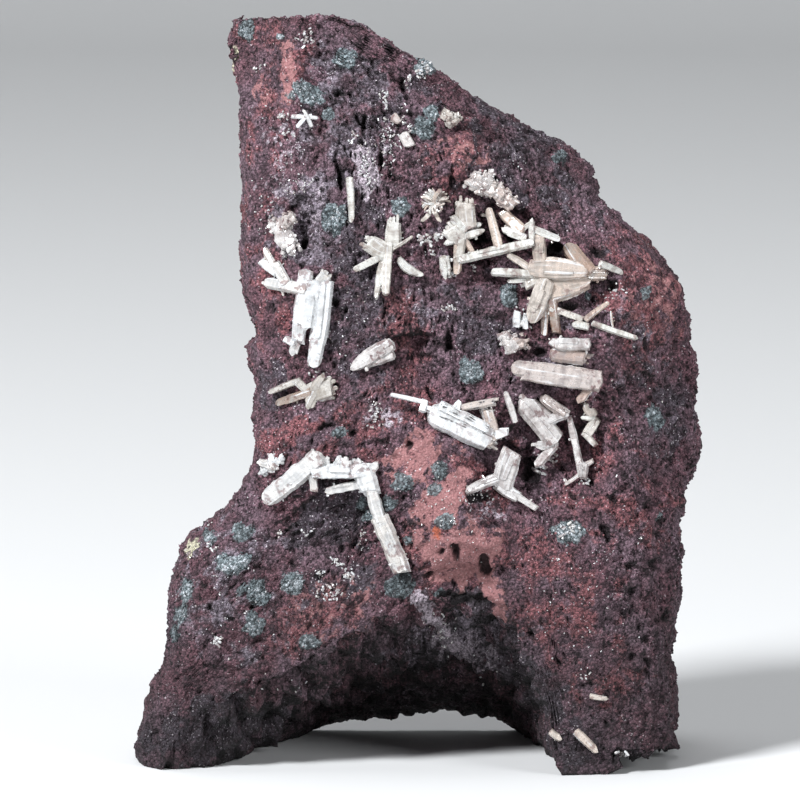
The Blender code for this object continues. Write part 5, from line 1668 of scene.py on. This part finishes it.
# The clusters: across, height, half width and half height of the spread, how many, and the greatest length.
CLUSTERS = (
    (-25.8, 28.4, 0.6, 0.6, 9), (-14.1, 30.3, 0.6, 0.5, 7), (-10.6, 26.9, 0.6, 0.5, 10),
    (-8.9, 25.2, 0.9, 0.9, 26), (-12.6, 25.4, 0.7, 0.9, 16), (-11.2, 22.9, 1.7, 0.9, 34),
    (-25.3, 17, 0.7, 0.9, 34), (-26.7, 31.6, 0.3, 0.3, 4), (-17.6, 30.4, 0.5, 0.5, 6),
    (-14.1, 92.4, 1.1, 0.9, 30), (-20.4, 88.6, 0.6, 0.6, 10), (-17, 82.5, 0.7, 0.4, 22),
    (-16.4, 80.4, 0.9, 0.4, 12), (-4.1, 83.7, 0.3, 0.8, 10), (-1.5, 87.1, 0.5, 1.2, 14),
    (-4.4, 85.3, 0.7, 0.6, 9), (-8.3, 79.9, 0.6, 0.8, 9), (3.8, 58.5, 1.1, 0.25, 34),
    (18.4, 30.9, 1.9, 1.2, 34), (0.5, 88.4, 1, 1, 26), (0.8, 67.1, 0.6, 0.6, 14, 1.1),
    (2, 67.8, 0.3, 0.8, 6, 1.6), (1.2, 65.3, 0.5, 0.4, 8), (3.4, 63.4, 0.6, 1.4, 26, 1.1),
    (6.4, 63.7, 0.3, 0.5, 4), (-5.6, 46.3, 0.5, 0.5, 10), (-5, 44.6, 1.6, 1.4, 22),
    (-6.8, 76.3, 1.2, 2.6, 60, 0.5), (-3.9, 79.3, 1.2, 3.2, 70, 0.5), (-15.6, 73.6, 3.8, 1.6, 40, 0.45),
    (-19, 70, 1.6, 3, 26, 0.45), (-9.6, 70.4, 1.6, 1.4, 20, 0.45), (-6.2, 74.4, 0.9, 1.2, 16, 0.6),
    (-1.8, 81.2, 0.9, 2.2, 20, 0.6), (-7.2, 30, 0.6, 1.6, 18, 0.5), (3.2, 18, 2, 3, 40, 0.5),
    (-16.4, 66.2, 1.2, 1.4, 14), (-13.2, 50.6, 0.8, 1, 10), (13, 57.6, 1.6, 1.4, 20),
    (7, 35, 2.6, 1.2, 26, 0.5), (24.4, 60.8, 1.4, 1, 12), (16.2, 40, 1.4, 1, 20, 0.9),
    (15.2, 38.4, 1, 0.9, 16, 0.9), (20.6, 37, 1, 0.8, 16), (25.2, 2.9, 0.9, 0.12, 8, 1),
    (20.6, 13, 2, 0.8, 8, 0.5), (9, 14, 2.4, 2.4, 10, 0.5), (-17, 11, 4, 3, 8, 0.5),
    (17.2, 27.2, 0.6, 0.3, 4, 0.4), (27.6, 29.8, 0.5, 0.5, 5, 0.4), (11.8, 76, 3, 2, 12, 0.4),
    (-9, 57, 3, 6, 30, 0.35), (-24, 24, 7, 9, 70, 0.35), (3, 32, 4, 6, 60, 0.35), (20, 22, 7, 10, 70, 0.35),
    (-16, 78, 5, 12, 90, 0.35), (26, 50, 6, 12, 40, 0.35),
)


@dataclass(frozen=True)
class Specks:
    """Tiny pale crystals in clusters on the front of the rock."""

    surface: BVHTree
    ray_start: float = 30.0
    least_size: float = 0.35
    tilt: float = 0.7
    sunk: float = 0.08

    def build(self) -> Object:
        """Makes the specks: small pointed prisms that stand on the rock where a line of sight meets it.

        Returns:
            The object.
        """
        random = np.random.default_rng(17)
        found, ways, lengths = [], [], []
        for cluster in (Cluster(*row) for row in CLUSTERS):
            spread = random.normal(0.0, 0.5, (cluster.count, 2)) * (cluster.half_width, cluster.half_height)
            for across, height in spread + (cluster.across, cluster.height):
                start = world(across, height, np.array(0.0)) + TOWARD_VIEWER * self.ray_start
                place, normal, _, _ = self.surface.ray_cast(Vector(start), Vector(-TOWARD_VIEWER))
                if place is not None and place.z > FLOOR_CLEARANCE:
                    found.append(place)
                    ways.append(normal)
                    lengths.append(cluster.longest)
        count = len(found)
        middles, ways = np.array(found), np.array(ways)
        size = np.array(lengths) * random.uniform(self.least_size, 1.0, count)
        sizes = np.column_stack((0.22 * size + 0.03, 0.16 * size + 0.03, size))
        frames = frames_along(ways + random.normal(0.0, self.tilt, (count, 3)), sizes, random)
        middles = middles - self.sunk * ways
        points, faces = PRISM_FORM.repeat(middles, frames)
        made = mesh_object("specks", points, faces)
        made.data.shade_flat()
        per_form = len(PRISM_FORM.points)
        own = np.repeat(random.uniform(0.0, 0.6, count), per_form)
        paint_places(made, points)
        paint(made, "tone", own, np.ones_like(own), np.ones_like(own))
        return made


class NodeSketch:
    """Builds a tree of shader nodes from values and sockets."""

    MIX_INPUTS = (0, 6, 7)
    MIX_OUTPUT = 2

    def __init__(self, tree: bpy.types.NodeTree) -> None:
        """Takes the tree to build in."""
        self.nodes = tree.nodes
        self.links = tree.links

    def node(self, kind: str, inputs: dict | None = None, **settings: object) -> bpy.types.Node:
        """A new node.

        Args:
            kind: the node's type name, less its first words.
            inputs: sockets or plain values for its inputs, by name or number.
            settings: its properties.

        Returns:
            The node.
        """
        made = self.nodes.new("ShaderNode" + kind)
        for key, value in settings.items():
            setattr(made, key, value)
        for key, value in (inputs or {}).items():
            self.feed(made.inputs[key], value)
        return made

    def feed(self, socket: Socket, value: object) -> None:
        """Links a socket to an input, or sets the input to a plain value.

        Args:
            socket: the input.
            value: the socket that feeds it, a number, a vector or a colour without alpha.
        """
        if isinstance(value, Socket):
            self.links.new(value, socket)
        elif isinstance(value, tuple) and socket.type == "RGBA":
            socket.default_value = (*value, 1.0)
        else:
            socket.default_value = value

    def math(self, operation: str, *values: object) -> Socket:
        """One arithmetic step on sockets and numbers."""
        return self.node("Math", dict(enumerate(values)), operation=operation).outputs[0]

    def plus(self, value: object, other: object, factor: float) -> Socket:
        """A value plus another times a factor."""
        return self.math("ADD", value, self.math("MULTIPLY", other, factor))

    def ramp(self, value: object, low: float, high: float, to_low: float, to_high: object) -> Socket:
        """Maps a value from the range low to high to another one, smoothly and held at the ends."""
        names = {"Value": value, "From Min": low, "From Max": high, "To Min": to_low, "To Max": to_high}
        return self.node("MapRange", names, interpolation_type="SMOOTHSTEP").outputs["Result"]

    def times(self, value: object, other: object, *span: float) -> Socket:
        """A value times a ramp of another."""
        return self.math("MULTIPLY", value, self.ramp(other, *span))

    def noise(self, place: Socket, scale: float, detail: float = 3.0) -> Socket:
        """Fractal noise from 0 to 1."""
        inputs = {"Vector": place, "Scale": scale, "Detail": detail, "Roughness": 0.6}
        return self.node("TexNoise", inputs).outputs["Fac"]

    def cells(self, place: Socket, scale: float) -> tuple[Socket, Socket]:
        """Round grains, one in each cell of a lattice.

        Args:
            place: the place on the object.
            scale: how many cells there are along a metre.

        Returns:
            The distance from a grain's middle, and a number from 0 to 1 that belongs to the grain.
        """
        made = self.node("TexVoronoi", {"Vector": place, "Scale": scale})
        split = self.node("SeparateColor", {"Color": made.outputs["Color"]})
        return made.outputs["Distance"], split.outputs[0]

    def attribute(self, name: str) -> list[Socket]:
        """Reads a colour attribute.

        Args:
            name: its name.

        Returns:
            Its four channels.
        """
        made = self.node("Attribute", attribute_name=name)
        split = self.node("SeparateColor", {"Color": made.outputs["Color"]})
        return [*split.outputs[:3], made.outputs["Alpha"]]

    def mix(self, share: object, first: object, second: object, blend: str = "MIX") -> Socket:
        """One colour over another.

        Args:
            share: how much of the second shows.
            first: the colour below.
            second: the colour above.
            blend: how they are blended.

        Returns:
            The colour.
        """
        made = self.node("Mix", data_type="RGBA", blend_type=blend)
        for number, value in zip(self.MIX_INPUTS, (share, first, second)):
            self.feed(made.inputs[number], value)
        return made.outputs[self.MIX_OUTPUT]

    def shaded(self, colour: Socket, level: Socket) -> Socket:
        """A colour times a level of grey."""
        grey = self.node("CombineColor", {0: level, 1: level, 2: level}).outputs[0]
        return self.mix(1.0, colour, grey, "MULTIPLY")


class GroupSketch(NodeSketch):
    """A node group with named inputs and outputs, which are given with their socket types."""

    def __init__(self, name: str, inputs: dict[str, str], outputs: dict[str, str]) -> None:
        """Makes the group.

        Args:
            name: its name.
            inputs: the socket type of each input, by name.
            outputs: the socket type of each output, by name.
        """
        self.tree = bpy.data.node_groups.new(name, "ShaderNodeTree")
        super().__init__(self.tree)
        for way, sockets in (("INPUT", inputs), ("OUTPUT", outputs)):
            for title, kind in sockets.items():
                self.tree.interface.new_socket(title, in_out=way, socket_type=kind)
        self.given = self.nodes.new("NodeGroupInput").outputs
        self.results = self.nodes.new("NodeGroupOutput").inputs


class MaterialSketch(NodeSketch):
    """A material's node tree with its shader."""

    def __init__(self, name: str) -> None:
        """Makes the material.

        Args:
            name: its name.
        """
        self.material = bpy.data.materials.new(name)
        self.material.use_nodes = True
        super().__init__(self.material.node_tree)
        self.shader = self.nodes["Principled BSDF"]

    def bump(self, height: Socket, strength: float, distance: float) -> None:
        """Gives the shader's normal a fine relief."""
        made = self.node("Bump", {"Height": height, "Strength": strength, "Distance": distance})
        self.links.new(made.outputs["Normal"], self.shader.inputs["Normal"])

    def finish(self, colour: object, roughness: object, **plain: float | Row) -> bpy.types.Material:
        """Sets the shader.

        Args:
            colour: the base colour.
            roughness: the roughness.
            plain: other inputs by name, with underscores for spaces, as plain values.

        Returns:
            The finished material.
        """
        self.feed(self.shader.inputs["Base Color"], colour)
        self.feed(self.shader.inputs["Roughness"], roughness)
        for name, value in plain.items():
            self.shader.inputs[name.replace("_", " ")].default_value = value
        return self.material


@dataclass(frozen=True)
class RockFinish:
    """Granular rock: grains of maroon, mauve and grey in a dark ground, with patches, rosettes and holes
    painted dark as shade.
    """

    ground: Colour = (0.040, 0.021, 0.029)
    maroon: Colour = (0.192, 0.092, 0.114)
    mauve: Colour = (0.200, 0.126, 0.158)
    red: Colour = (0.240, 0.092, 0.102)
    grey: Colour = (0.240, 0.200, 0.240)
    clay: Colour = (0.322, 0.148, 0.150)
    clay_grain: Colour = (0.430, 0.240, 0.240)
    dark: Colour = (0.096, 0.076, 0.094)
    lilac: Colour = (0.520, 0.440, 0.500)
    rust: Colour = (0.420, 0.110, 0.062)
    ochre: Colour = (0.740, 0.700, 0.520)
    rosette_dark: Colour = (0.045, 0.057, 0.062)
    rosette: Colour = (0.205, 0.255, 0.272)
    rosette_pale: Colour = (0.600, 0.650, 0.690)
    # Painted shade inside holes, pits and pores.
    painted_hole_shade: Colour = (0.010, 0.006, 0.008)
    speck: Colour = (0.640, 0.590, 0.620)
    grain_scale: float = 3000.0
    fine_share: float = 2.2
    pore_scale: float = 1900.0

    def material(self) -> bpy.types.Material:
        """Makes the material: grains and patches, rosettes, painted gap shade and specks, then tone and
        painted light and shade.

        Returns:
            The material.
        """
        sketch = MaterialSketch("rock_finish")
        mix, ramp, times, plus = sketch.mix, sketch.ramp, sketch.times, sketch.plus
        place = sketch.node("TexCoord").outputs["Object"]
        mask = {}
        for name, parts in ROCK_LAYERS.items():
            mask.update(zip(parts, sketch.attribute(name)))
        distance, number = sketch.cells(place, self.grain_scale)
        fine_distance, fine_number = sketch.cells(place, self.grain_scale * self.fine_share)
        broad = sketch.noise(place, 130.0, 4.0)
        tone = sketch.noise(place, 300.0, 6.0)
        middle = sketch.noise(place, 480.0, 5.0)
        ragged = sketch.noise(place, 1000.0, 5.0)

        colour = mix(ramp(broad, 0.40, 0.60, 0.0, 1.0), self.maroon, self.mauve)
        for name in ("red", "grey", "dark"):
            colour = mix(self.edged(sketch, mask[name], tone), colour, getattr(self, name))
        grainy = plus(sketch.math("MULTIPLY", number, 0.35), middle, 0.85)
        colour = mix(ramp(grainy, 0.70, 0.42, 0.0, 0.85), colour, self.ground)
        clay = self.edged(sketch, mask["clay"], ragged)
        clay_colour = mix(ramp(fine_number, 0.8, 1.0, 0.0, 0.7), self.clay, self.clay_grain)
        colour = mix(clay, colour, clay_colour)
        for name in ("lilac", "rust", "ochre"):
            colour = mix(self.edged(sketch, mask[name], ragged), colour, getattr(self, name))

        lumpy = plus(sketch.math("MULTIPLY", number, 0.7), mask["pale"], 0.75)
        ball = mix(ramp(lumpy, 0.25, 0.75, 0.0, 1.0), self.rosette_dark, self.rosette)
        ball = mix(ramp(lumpy, 0.80, 1.15, 0.0, 1.0), ball, self.rosette_pale)
        fringed = sketch.math("ADD", mask["rosette"], ramp(ragged, 0.3, 0.7, -0.35, 0.35))
        colour = mix(ramp(fringed, 0.25, 0.75, 0.0, 0.92), colour, ball)
        # Painted shade: pores, pits and holes are painted near black where shade falls in them.
        pore = times(self.pores(sketch, place, mask["pitted"]), clay, 0.2, 0.8, 1.0, 0.15)
        pore = times(pore, mask["rosette"], 0.3, 0.7, 1.0, 0.0)
        gap = ramp(mask["cavity"], 0.15, 0.8, 0.0, 0.9)
        gap = sketch.math("MAXIMUM", gap, sketch.math("MULTIPLY", pore, 0.85))
        colour = mix(gap, colour, self.painted_hole_shade)
        bright = plus(fine_number, mask["dark"], 0.025)
        speck = times(ramp(bright, 0.975, 0.985, 0.0, 1.0), tone, 0.42, 0.60, 0.05, 0.7)
        speck = times(speck, gap, 0.0, 0.3, 1.0, 0.0)
        colour = mix(speck, colour, self.speck)

        # Tone varies at random from grain to grain; the distance ramp darkens each grain towards its rim as
        # painted shade between the grains.
        shade = times(ramp(fine_number, 0.0, 1.0, 0.78, 1.22), distance, 0.30, 0.80, 1.08, 0.50)
        shade = times(shade, tone, 0.35, 0.65, 0.80, 1.20)
        shade = times(shade, mask["own"], 0.0, 1.0, 0.65, 1.35)
        shade = sketch.math("POWER", shade, ramp(clay, 0.2, 0.9, 1.0, 0.4))
        # Painted shade: faces that look down are darkened to 0.17 of their tone.
        shade = times(shade, mask["under"], 0.0, 1.0, 1.0, 0.17)
        # Painted light and shade on faces that look down: blotches made lighter and darker, as lit crags
        # would show.
        crags = times(ramp(middle, 0.42, 0.60, 0.35, 2.8), number, 0.0, 1.0, 0.5, 1.7)
        shade = sketch.math("MULTIPLY", shade, sketch.math("POWER", crags, mask["under"]))
        # Painted shade: darker towards the floor, from 0.44 at 2 mm up to full at 40 mm.
        upright = sketch.node("SeparateXYZ", {0: place}).outputs[2]
        shade = times(shade, upright, 0.002, 0.040, 0.44, 1.0)
        height = plus(sketch.math("MULTIPLY", ragged, 1.2), distance, -1.0)
        height = plus(height, fine_distance, -0.45)
        height = plus(height, pore, -1.5)
        sketch.bump(times(height, clay, 0.2, 0.9, 1.0, 0.45), 0.9, 0.00030)
        roughness = ramp(speck, 0.0, 1.0, 0.82, 0.30)
        return sketch.finish(sketch.shaded(colour, shade), roughness, Metallic=0.0, Specular_IOR_Level=0.4)

    def pores(self, sketch: NodeSketch, place: Socket, pitted: Socket) -> Socket:
        """Small slanted pores: the middles of some cells, more of them where the rock is pitted.

        Args:
            sketch: where the nodes go.
            place: the place on the rock.
            pitted: how pitted the rock is.

        Returns:
            A mask of the pores.
        """
        slant = {"Vector": place, "Rotation": (0.0, 0.45, 0.0), "Scale": (1.0, 1.0, 0.6)}
        distance, number = sketch.cells(sketch.node("Mapping", slant).outputs[0], self.pore_scale)
        chosen = sketch.math("LESS_THAN", number, sketch.ramp(pitted, 0.0, 1.0, 0.16, 0.52))
        return sketch.times(chosen, distance, 0.42, 0.20, 0.0, 1.0)

    @staticmethod
    def edged(sketch: NodeSketch, mask: Socket, ragged: Socket) -> Socket:
        """A mask broken up by noise: where it is weak only the noise's peaks keep it."""
        uneven = sketch.math("ADD", mask, sketch.ramp(ragged, 0.32, 0.68, -0.45, 0.45))
        return sketch.times(sketch.ramp(uneven, 0.30, 0.75, 0.0, 1.0), mask, 0.02, 0.2, 0.0, 1.0)


COLOUR, VALUE = "NodeSocketColor", "NodeSocketFloat"
CRYSTAL_INPUTS = {
    "Milky": COLOUR, "Warm": COLOUR, "Clear": COLOUR, "Brown": COLOUR, "Bright": COLOUR, "Streak": COLOUR,
    "Dust": COLOUR, "Dust Share": VALUE, "Streaked": VALUE, "Clear Roughness": VALUE,
}
CRYSTAL_OUTPUTS = {"Colour": COLOUR, "Roughness": VALUE, "Height": VALUE}


def cloudy_crystal() -> bpy.types.NodeTree:
    """The look that the crystals share: milky and clear by turns, streaked lengthwise with painted highlight
    lines, dusted with clay.

    Returns:
        A node group that gives the colour, the roughness and the height of the fine relief.
    """
    sketch = GroupSketch("cloudy_crystal", CRYSTAL_INPUTS, CRYSTAL_OUTPUTS)
    mix, ramp, times, plus, given = sketch.mix, sketch.ramp, sketch.times, sketch.plus, sketch.given
    place = sketch.node("TexCoord").outputs["Object"]
    local = sketch.node("Attribute", attribute_name="grain").outputs["Vector"]
    hue, along, edge, _ = sketch.attribute("tone")
    drawn = sketch.node("Mapping", {"Vector": local, "Scale": (1.0, 1.0, 0.05)}).outputs[0]
    flat = sketch.node("Mapping", {"Vector": local, "Scale": (0.15, 0.15, 1.0)}).outputs[0]
    streaks = sketch.noise(drawn, 2.3, 3.0)
    bands = sketch.noise(flat, 2.0, 3.0)
    clouds = sketch.noise(local, 0.75, 4.0)
    dusty = sketch.noise(place, 1500.0, 5.0)
    stained = sketch.noise(place, 330.0, 3.0)
    sugar_distance, sugar = sketch.cells(place, 4200.0)

    colour = mix(ramp(hue, 0.10, 0.70, 0.0, 1.0), given["Milky"], given["Warm"])
    colour = mix(ramp(hue, 0.70, 1.00, 0.0, 0.9), colour, given["Brown"])
    murk = sketch.math("SUBTRACT", plus(clouds, bands, 0.4), 0.20)
    colour = mix(ramp(murk, 0.42, 0.68, 0.0, 0.9), colour, given["Clear"])
    # Painted highlight: near-white lines along the streaks.
    colour = mix(ramp(streaks, 0.41, 0.36, 0.0, 0.9), colour, given["Bright"])
    gaps = times(ramp(streaks, 0.565, 0.60, 0.0, 1.0), clouds, 0.46, 0.56, 0.1, 1.0)
    colour = mix(sketch.math("MULTIPLY", gaps, given["Streaked"]), colour, given["Streak"])
    ends = sketch.math("ABSOLUTE", sketch.math("SUBTRACT", along, 0.55))
    stain = sketch.math("ADD", stained, ramp(ends, 0.25, 0.55, -0.04, 0.09))
    speckle = times(ramp(stain, 0.50, 0.58, 0.0, 1.0), dusty, 0.48, 0.54, 0.0, 1.0)
    dust = sketch.math("MULTIPLY", speckle, given["Dust Share"])
    colour = mix(dust, colour, given["Dust"])
    level = times(ramp(sugar, 0.0, 1.0, 0.95, 1.03), bands, 0.35, 0.65, 1.04, 0.94)
    level = times(level, edge, 0.5, 1.0, 1.0, 0.94)
    rough = ramp(clouds, 0.40, 0.62, 0.30, given["Clear Roughness"])
    height = plus(plus(streaks, dusty, 0.15), bands, 0.5)
    height = plus(height, sugar_distance, -0.12)
    sketch.feed(sketch.results["Colour"], sketch.shaded(colour, level))
    sketch.feed(sketch.results["Roughness"], sketch.math("ADD", rough, dust))
    sketch.feed(sketch.results["Height"], height)
    return sketch.tree


@dataclass(frozen=True)
class CrystalFinish:
    """One colour family of the cloudy crystal."""

    name: str
    milky: Colour
    warm: Colour
    clear: Colour
    streak: Colour
    dust: Colour
    dust_share: float
    clearness: float
    streaked: float = 0.22
    brown: Colour = (0.23, 0.115, 0.070)
    # The painted highlight lines along the streaks.
    bright: Colour = (0.86, 0.86, 0.87)
    clear_roughness: float = 0.07

    def material(self, look: bpy.types.NodeTree) -> bpy.types.Material:
        """Makes the material.

        Args:
            look: the node group that the crystals share, whose inputs have the names of this finish's values.

        Returns:
            The material.
        """
        sketch = MaterialSketch(self.name)
        made = sketch.nodes.new("ShaderNodeGroup")
        made.node_tree = look
        for title in CRYSTAL_INPUTS:
            sketch.feed(made.inputs[title], getattr(self, title.lower().replace(" ", "_")))
        sketch.bump(made.outputs["Height"], 0.35, 0.00014)
        return sketch.finish(
            made.outputs["Colour"], made.outputs["Roughness"], Metallic=0.0, IOR=2.0,
            Transmission_Weight=self.clearness, Subsurface_Weight=0.15,
            Subsurface_Radius=(0.0008, 0.0007, 0.0006), Subsurface_Scale=1.0,
        )


CRYSTAL_FINISHES = {
    Tint.WHITE: CrystalFinish(
        "white_crystal", (0.78, 0.79, 0.80), (0.60, 0.56, 0.52), (0.52, 0.52, 0.52), (0.10, 0.09, 0.10),
        (0.16, 0.075, 0.075), 0.70, 0.12,
    ),
    Tint.STREAKED: CrystalFinish(
        "streaked_crystal", (0.86, 0.87, 0.88), (0.50, 0.40, 0.34), (0.60, 0.60, 0.60), (0.05, 0.045, 0.05),
        (0.16, 0.075, 0.075), 0.45, 0.14, 0.95,
    ),
    Tint.CREAM: CrystalFinish(
        "cream_crystal", (0.74, 0.73, 0.69), (0.62, 0.48, 0.40), (0.44, 0.39, 0.35), (0.13, 0.09, 0.08),
        (0.14, 0.060, 0.050), 0.70, 0.22,
    ),
    Tint.ROSY: CrystalFinish(
        "rosy_crystal", (0.70, 0.67, 0.655), (0.54, 0.44, 0.40), (0.40, 0.35, 0.34), (0.12, 0.08, 0.08),
        (0.14, 0.060, 0.060), 0.80, 0.20,
    ),
    Tint.TAN: CrystalFinish(
        "tan_crystal", (0.60, 0.57, 0.53), (0.46, 0.37, 0.31), (0.38, 0.34, 0.30), (0.12, 0.08, 0.06),
        (0.14, 0.070, 0.055), 0.70, 0.24,
    ),
}


@dataclass(frozen=True)
class Studio:
    """A plain pale floor that curves up behind, soft light from the upper left, and the photo's camera."""

    looks_at: Place = (-0.0022, 0.0, 0.0453)
    lit_at: Place = (0.0, 0.0, 0.045)
    lamp_colour: Colour = (0.95, 0.975, 1.0)
    distance: float = 1.1
    seen_width: float = 0.100
    face_depth: float = 0.012
    sensor: float = 36.0
    paper: Colour = (0.62, 0.62, 0.62)
    world_light: float = 0.10

    def floor(self) -> Object:
        """A sheet swept along x: level under the object, a quarter circle behind it, then upright.

        Returns:
            The sheet with its plain finish.
        """
        bend = np.radians(np.linspace(0.0, 90.0, 25))
        reach, radius, wall = 0.9, 0.35, 1.6
        curve = np.column_stack((reach + radius * np.sin(bend), radius * (1.0 - np.cos(bend))))
        profile = np.vstack(((-1.6, 0.0), curve, (reach + radius, wall)))
        left = np.column_stack((np.full(len(profile), -2.0), profile))
        right = left * (-1.0, 1.0, 1.0)
        count = len(profile)
        faces = [[n, n + count, n + count + 1, n + 1] for n in range(count - 1)]
        sheet = mesh_object("floor", np.vstack((left, right)) / MM, faces)
        sketch = MaterialSketch("paper")
        sheet.data.materials.append(sketch.finish(self.paper, 0.9, Metallic=0.0))
        return sheet

    def lamp(self, name: str, place: Place, size: float, power: float) -> Object:
        """A square soft light that points at the object.

        Args:
            name: its name.
            place: where it stands, in metres.
            size: the length of its side.
            power: its power in watts.

        Returns:
            The light.
        """
        light = bpy.data.lights.new(name, "AREA")
        light.size = size
        light.energy = power
        light.color = self.lamp_colour
        return self.aimed(name, light, Vector(place), Vector(self.lit_at))

    @staticmethod
    def aimed(name: str, data: bpy.types.ID, place: Vector, target: Vector) -> Object:
        """A light or a camera in the scene.

        Args:
            name: its name.
            data: the light's or the camera's data.
            place: where it stands.
            target: what it points at.

        Returns:
            The object.
        """
        made = bpy.data.objects.new(name, data)
        made.location = place
        made.rotation_euler = (target - place).to_track_quat("-Z", "Y").to_euler()
        bpy.context.scene.collection.objects.link(made)
        return made

    def camera(self) -> Object:
        """The camera, which looks down by the view's tilt.

        Returns:
            The camera, made the scene's own.
        """
        lens = bpy.data.cameras.new("camera")
        lens.sensor_width = self.sensor
        lens.lens = self.sensor * (self.distance - self.face_depth) / self.seen_width
        lens.clip_start = 0.01
        target = Vector(self.looks_at)
        made = self.aimed("camera", lens, target + Vector(TOWARD_VIEWER) * self.distance, target)
        bpy.context.scene.camera = made
        return made

    def light_the_world(self) -> None:
        """Plain pale light from all round."""
        world_light = bpy.data.worlds.new("world")
        world_light.use_nodes = True
        background = world_light.node_tree.nodes["Background"]
        background.inputs["Color"].default_value = (0.95, 0.97, 1.0, 1.0)
        background.inputs["Strength"].default_value = self.world_light
        bpy.context.scene.world = world_light

    def build(self) -> None:
        """Makes the floor, the lights and the camera."""
        parts = [
            self.floor(),
            self.lamp("key", (-0.60, -0.56, 0.78), 0.22, 21.0),
            self.lamp("fill", (0.80, -0.60, 0.40), 0.40, 6.0),
            self.lamp("top", (0.0, 0.15, 1.0), 0.5, 4.0),
            self.camera(),
        ]
        self.light_the_world()
        bpy.context.scene.view_settings.view_transform = "Standard"


def main() -> None:
    """Builds the rock and the crystals over the frame, then the studio."""
    logging.basicConfig(level=logging.INFO, format="%(name)s: %(message)s")
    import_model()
    block = Block()
    rock, skin = Rock(block).build()
    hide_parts("matrix")
    grains = Grains(skin).build()
    stone = RockFinish().material()
    for made in (rock, grains):
        made.data.materials.append(stone)
        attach(made, "root")
        LOG.info("%s: %d faces", made.name, len(made.data.polygons))

    surface = BVHTree.FromPolygons(skin.points.tolist(), skin.polygons)
    garden = CrystalGarden(block, surface)
    look = cloudy_crystal()
    materials = {tint: finish.material(look) for tint, finish in CRYSTAL_FINISHES.items()}
    for group in GROUPS:
        made = garden.plant(group)
        made.data.materials.append(materials[group.tint])
        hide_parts(group.node)
        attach(made, "root")
        LOG.info("%s: %d faces", made.name, len(made.data.polygons))

    specks = Specks(surface).build()
    specks.data.materials.append(materials[Tint.WHITE])
    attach(specks, "root")
    LOG.info("specks: %d faces", len(specks.data.polygons))

    Studio().build()


if __name__ == "__main__":
    main()
